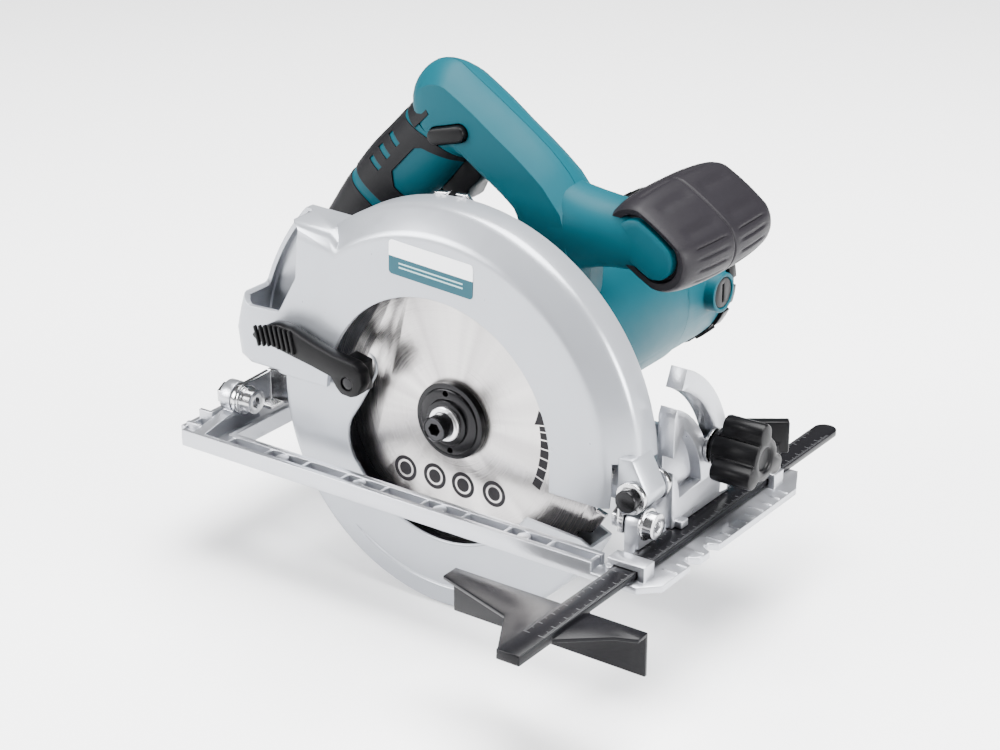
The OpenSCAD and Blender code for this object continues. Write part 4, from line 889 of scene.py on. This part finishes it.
cap_rows = ((47.1, 0.44), (47.3, 0.56), (47.8, 0.6), (48.6, 0.612), (60, 0.612))
cap = skin([barrel_ring(y, size) for y, size in cap_rows])
neck = combined("front_grip_neck", [skin(neck_rings), saddle()], "DIFFERENCE")
front_frame = combined("front_grip", [neck, cap])
finished("front_grip_frame", front_frame, teal_plastic, "saw_body", ["front_grip_core"])

# ---------- trigger, lock-off button and switch ----------
# Black nylon trigger on a steel pin with a coil round it, and an oval button that has to be pressed first.
# Behind them sit the switch and, at the heel, the bush for the cord.

finished("switch_trigger_blade", softened("trigger", 1.3), black_plastic, "switch_trigger", ["trigger"])
coat(machined_steel, "trigger_spring")
button = rounded(slab(oval(*button_ends, 4.2), 33.6, 41.8), 1.1)
finished("lock_off_oval", button, black_plastic, "lock_off", ["lock_off_button"])
coat(black_plastic, "switch_box")
finished("cord_bush", softened("cord_inlet", 0.8), black_rubber, "saw_body", ["cord_inlet"])

# ---------- handle screws ----------
# Five steel screws, sunk in the left half and tapped into the right half.

screw_profile = [(71.6, 0.01), (71.6, 2.2), (71.1, 3.0), (70.4, 3.3), (69.5, 3.3), (69.5, 1.85), (41.4, 1.85),
                 (40.8, 1.5), (40.8, 0.01)]
screws = bmesh.new()
for x, z in screw_places:
    shank = turned(screw_profile, 28, x, z)
    cross = [slab([(x - a, z - b), (x + a, z - b), (x + a, z + b), (x - a, z + b)], 70.6, 73)
             for a, b in ((1.9, 0.4), (0.4, 1.9))]
    merged(screws, combined("screw", [shank] + cross, "DIFFERENCE"))
finished("handle_assembly_screws", screws, dark_steel, "saw_body", ["handle_screws"])

# ---------- depth clamp ----------
# Zinc-plated bolt through the guard and the slotted arc, clamped by a black lever.

finished("depth_clamp_bolt", softened("depth_bolt", 0.3), zinc_steel, "saw_body", ["depth_bolt"])
finished("depth_clamp_lever", softened("depth_lever", 1.2), black_plastic, "depth_clamp", ["depth_lever"])

# ---------- rip fence ----------
# Black-painted steel bar with a scale in millimetres, welded to a folded guide plate, and the wing screw
# that clamps it in the base.

bar_lo, bar_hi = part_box("rip_fence")
screw_lo, screw_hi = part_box("fence_screw")
middle = (screw_lo.x + screw_hi.x) / 2
black_paint = cast("black_paint", (0.004, 0.004, 0.005), 0.25, 0.0, 0.00003, Specular_IOR_Level=0.1)
x, y, z = black_paint.axes()
across = abs(x - middle)
along = y - bar_lo.y
marks = ((along % 0.001 < 0.00022) * (across > 0.0043) + (along % 0.005 < 0.00026) * (across > 0.0033)
         + (along % 0.01 < 0.0003) * (across > 0.0023)) * (across < 0.0058)
marks = (marks > 0.5) * (z > bar_hi.z - 0.0002) * (along > 0.02) * (y < bar_hi.y - 0.012)
black_paint.set("Base Color", black_paint.mix(marks * 0.75, black_paint.mix(
    black_paint.noise(0.02), (0.004, 0.004, 0.005), (0.006, 0.006, 0.007)), (0.11, 0.11, 0.115)))
finished("bar_and_guide", softened("rip_fence", 0.45), black_paint, "fence", ["rip_fence"])
finished("wing_screw", softened("fence_screw", 0.9), black_plastic, "fence_clamp", ["fence_screw"])
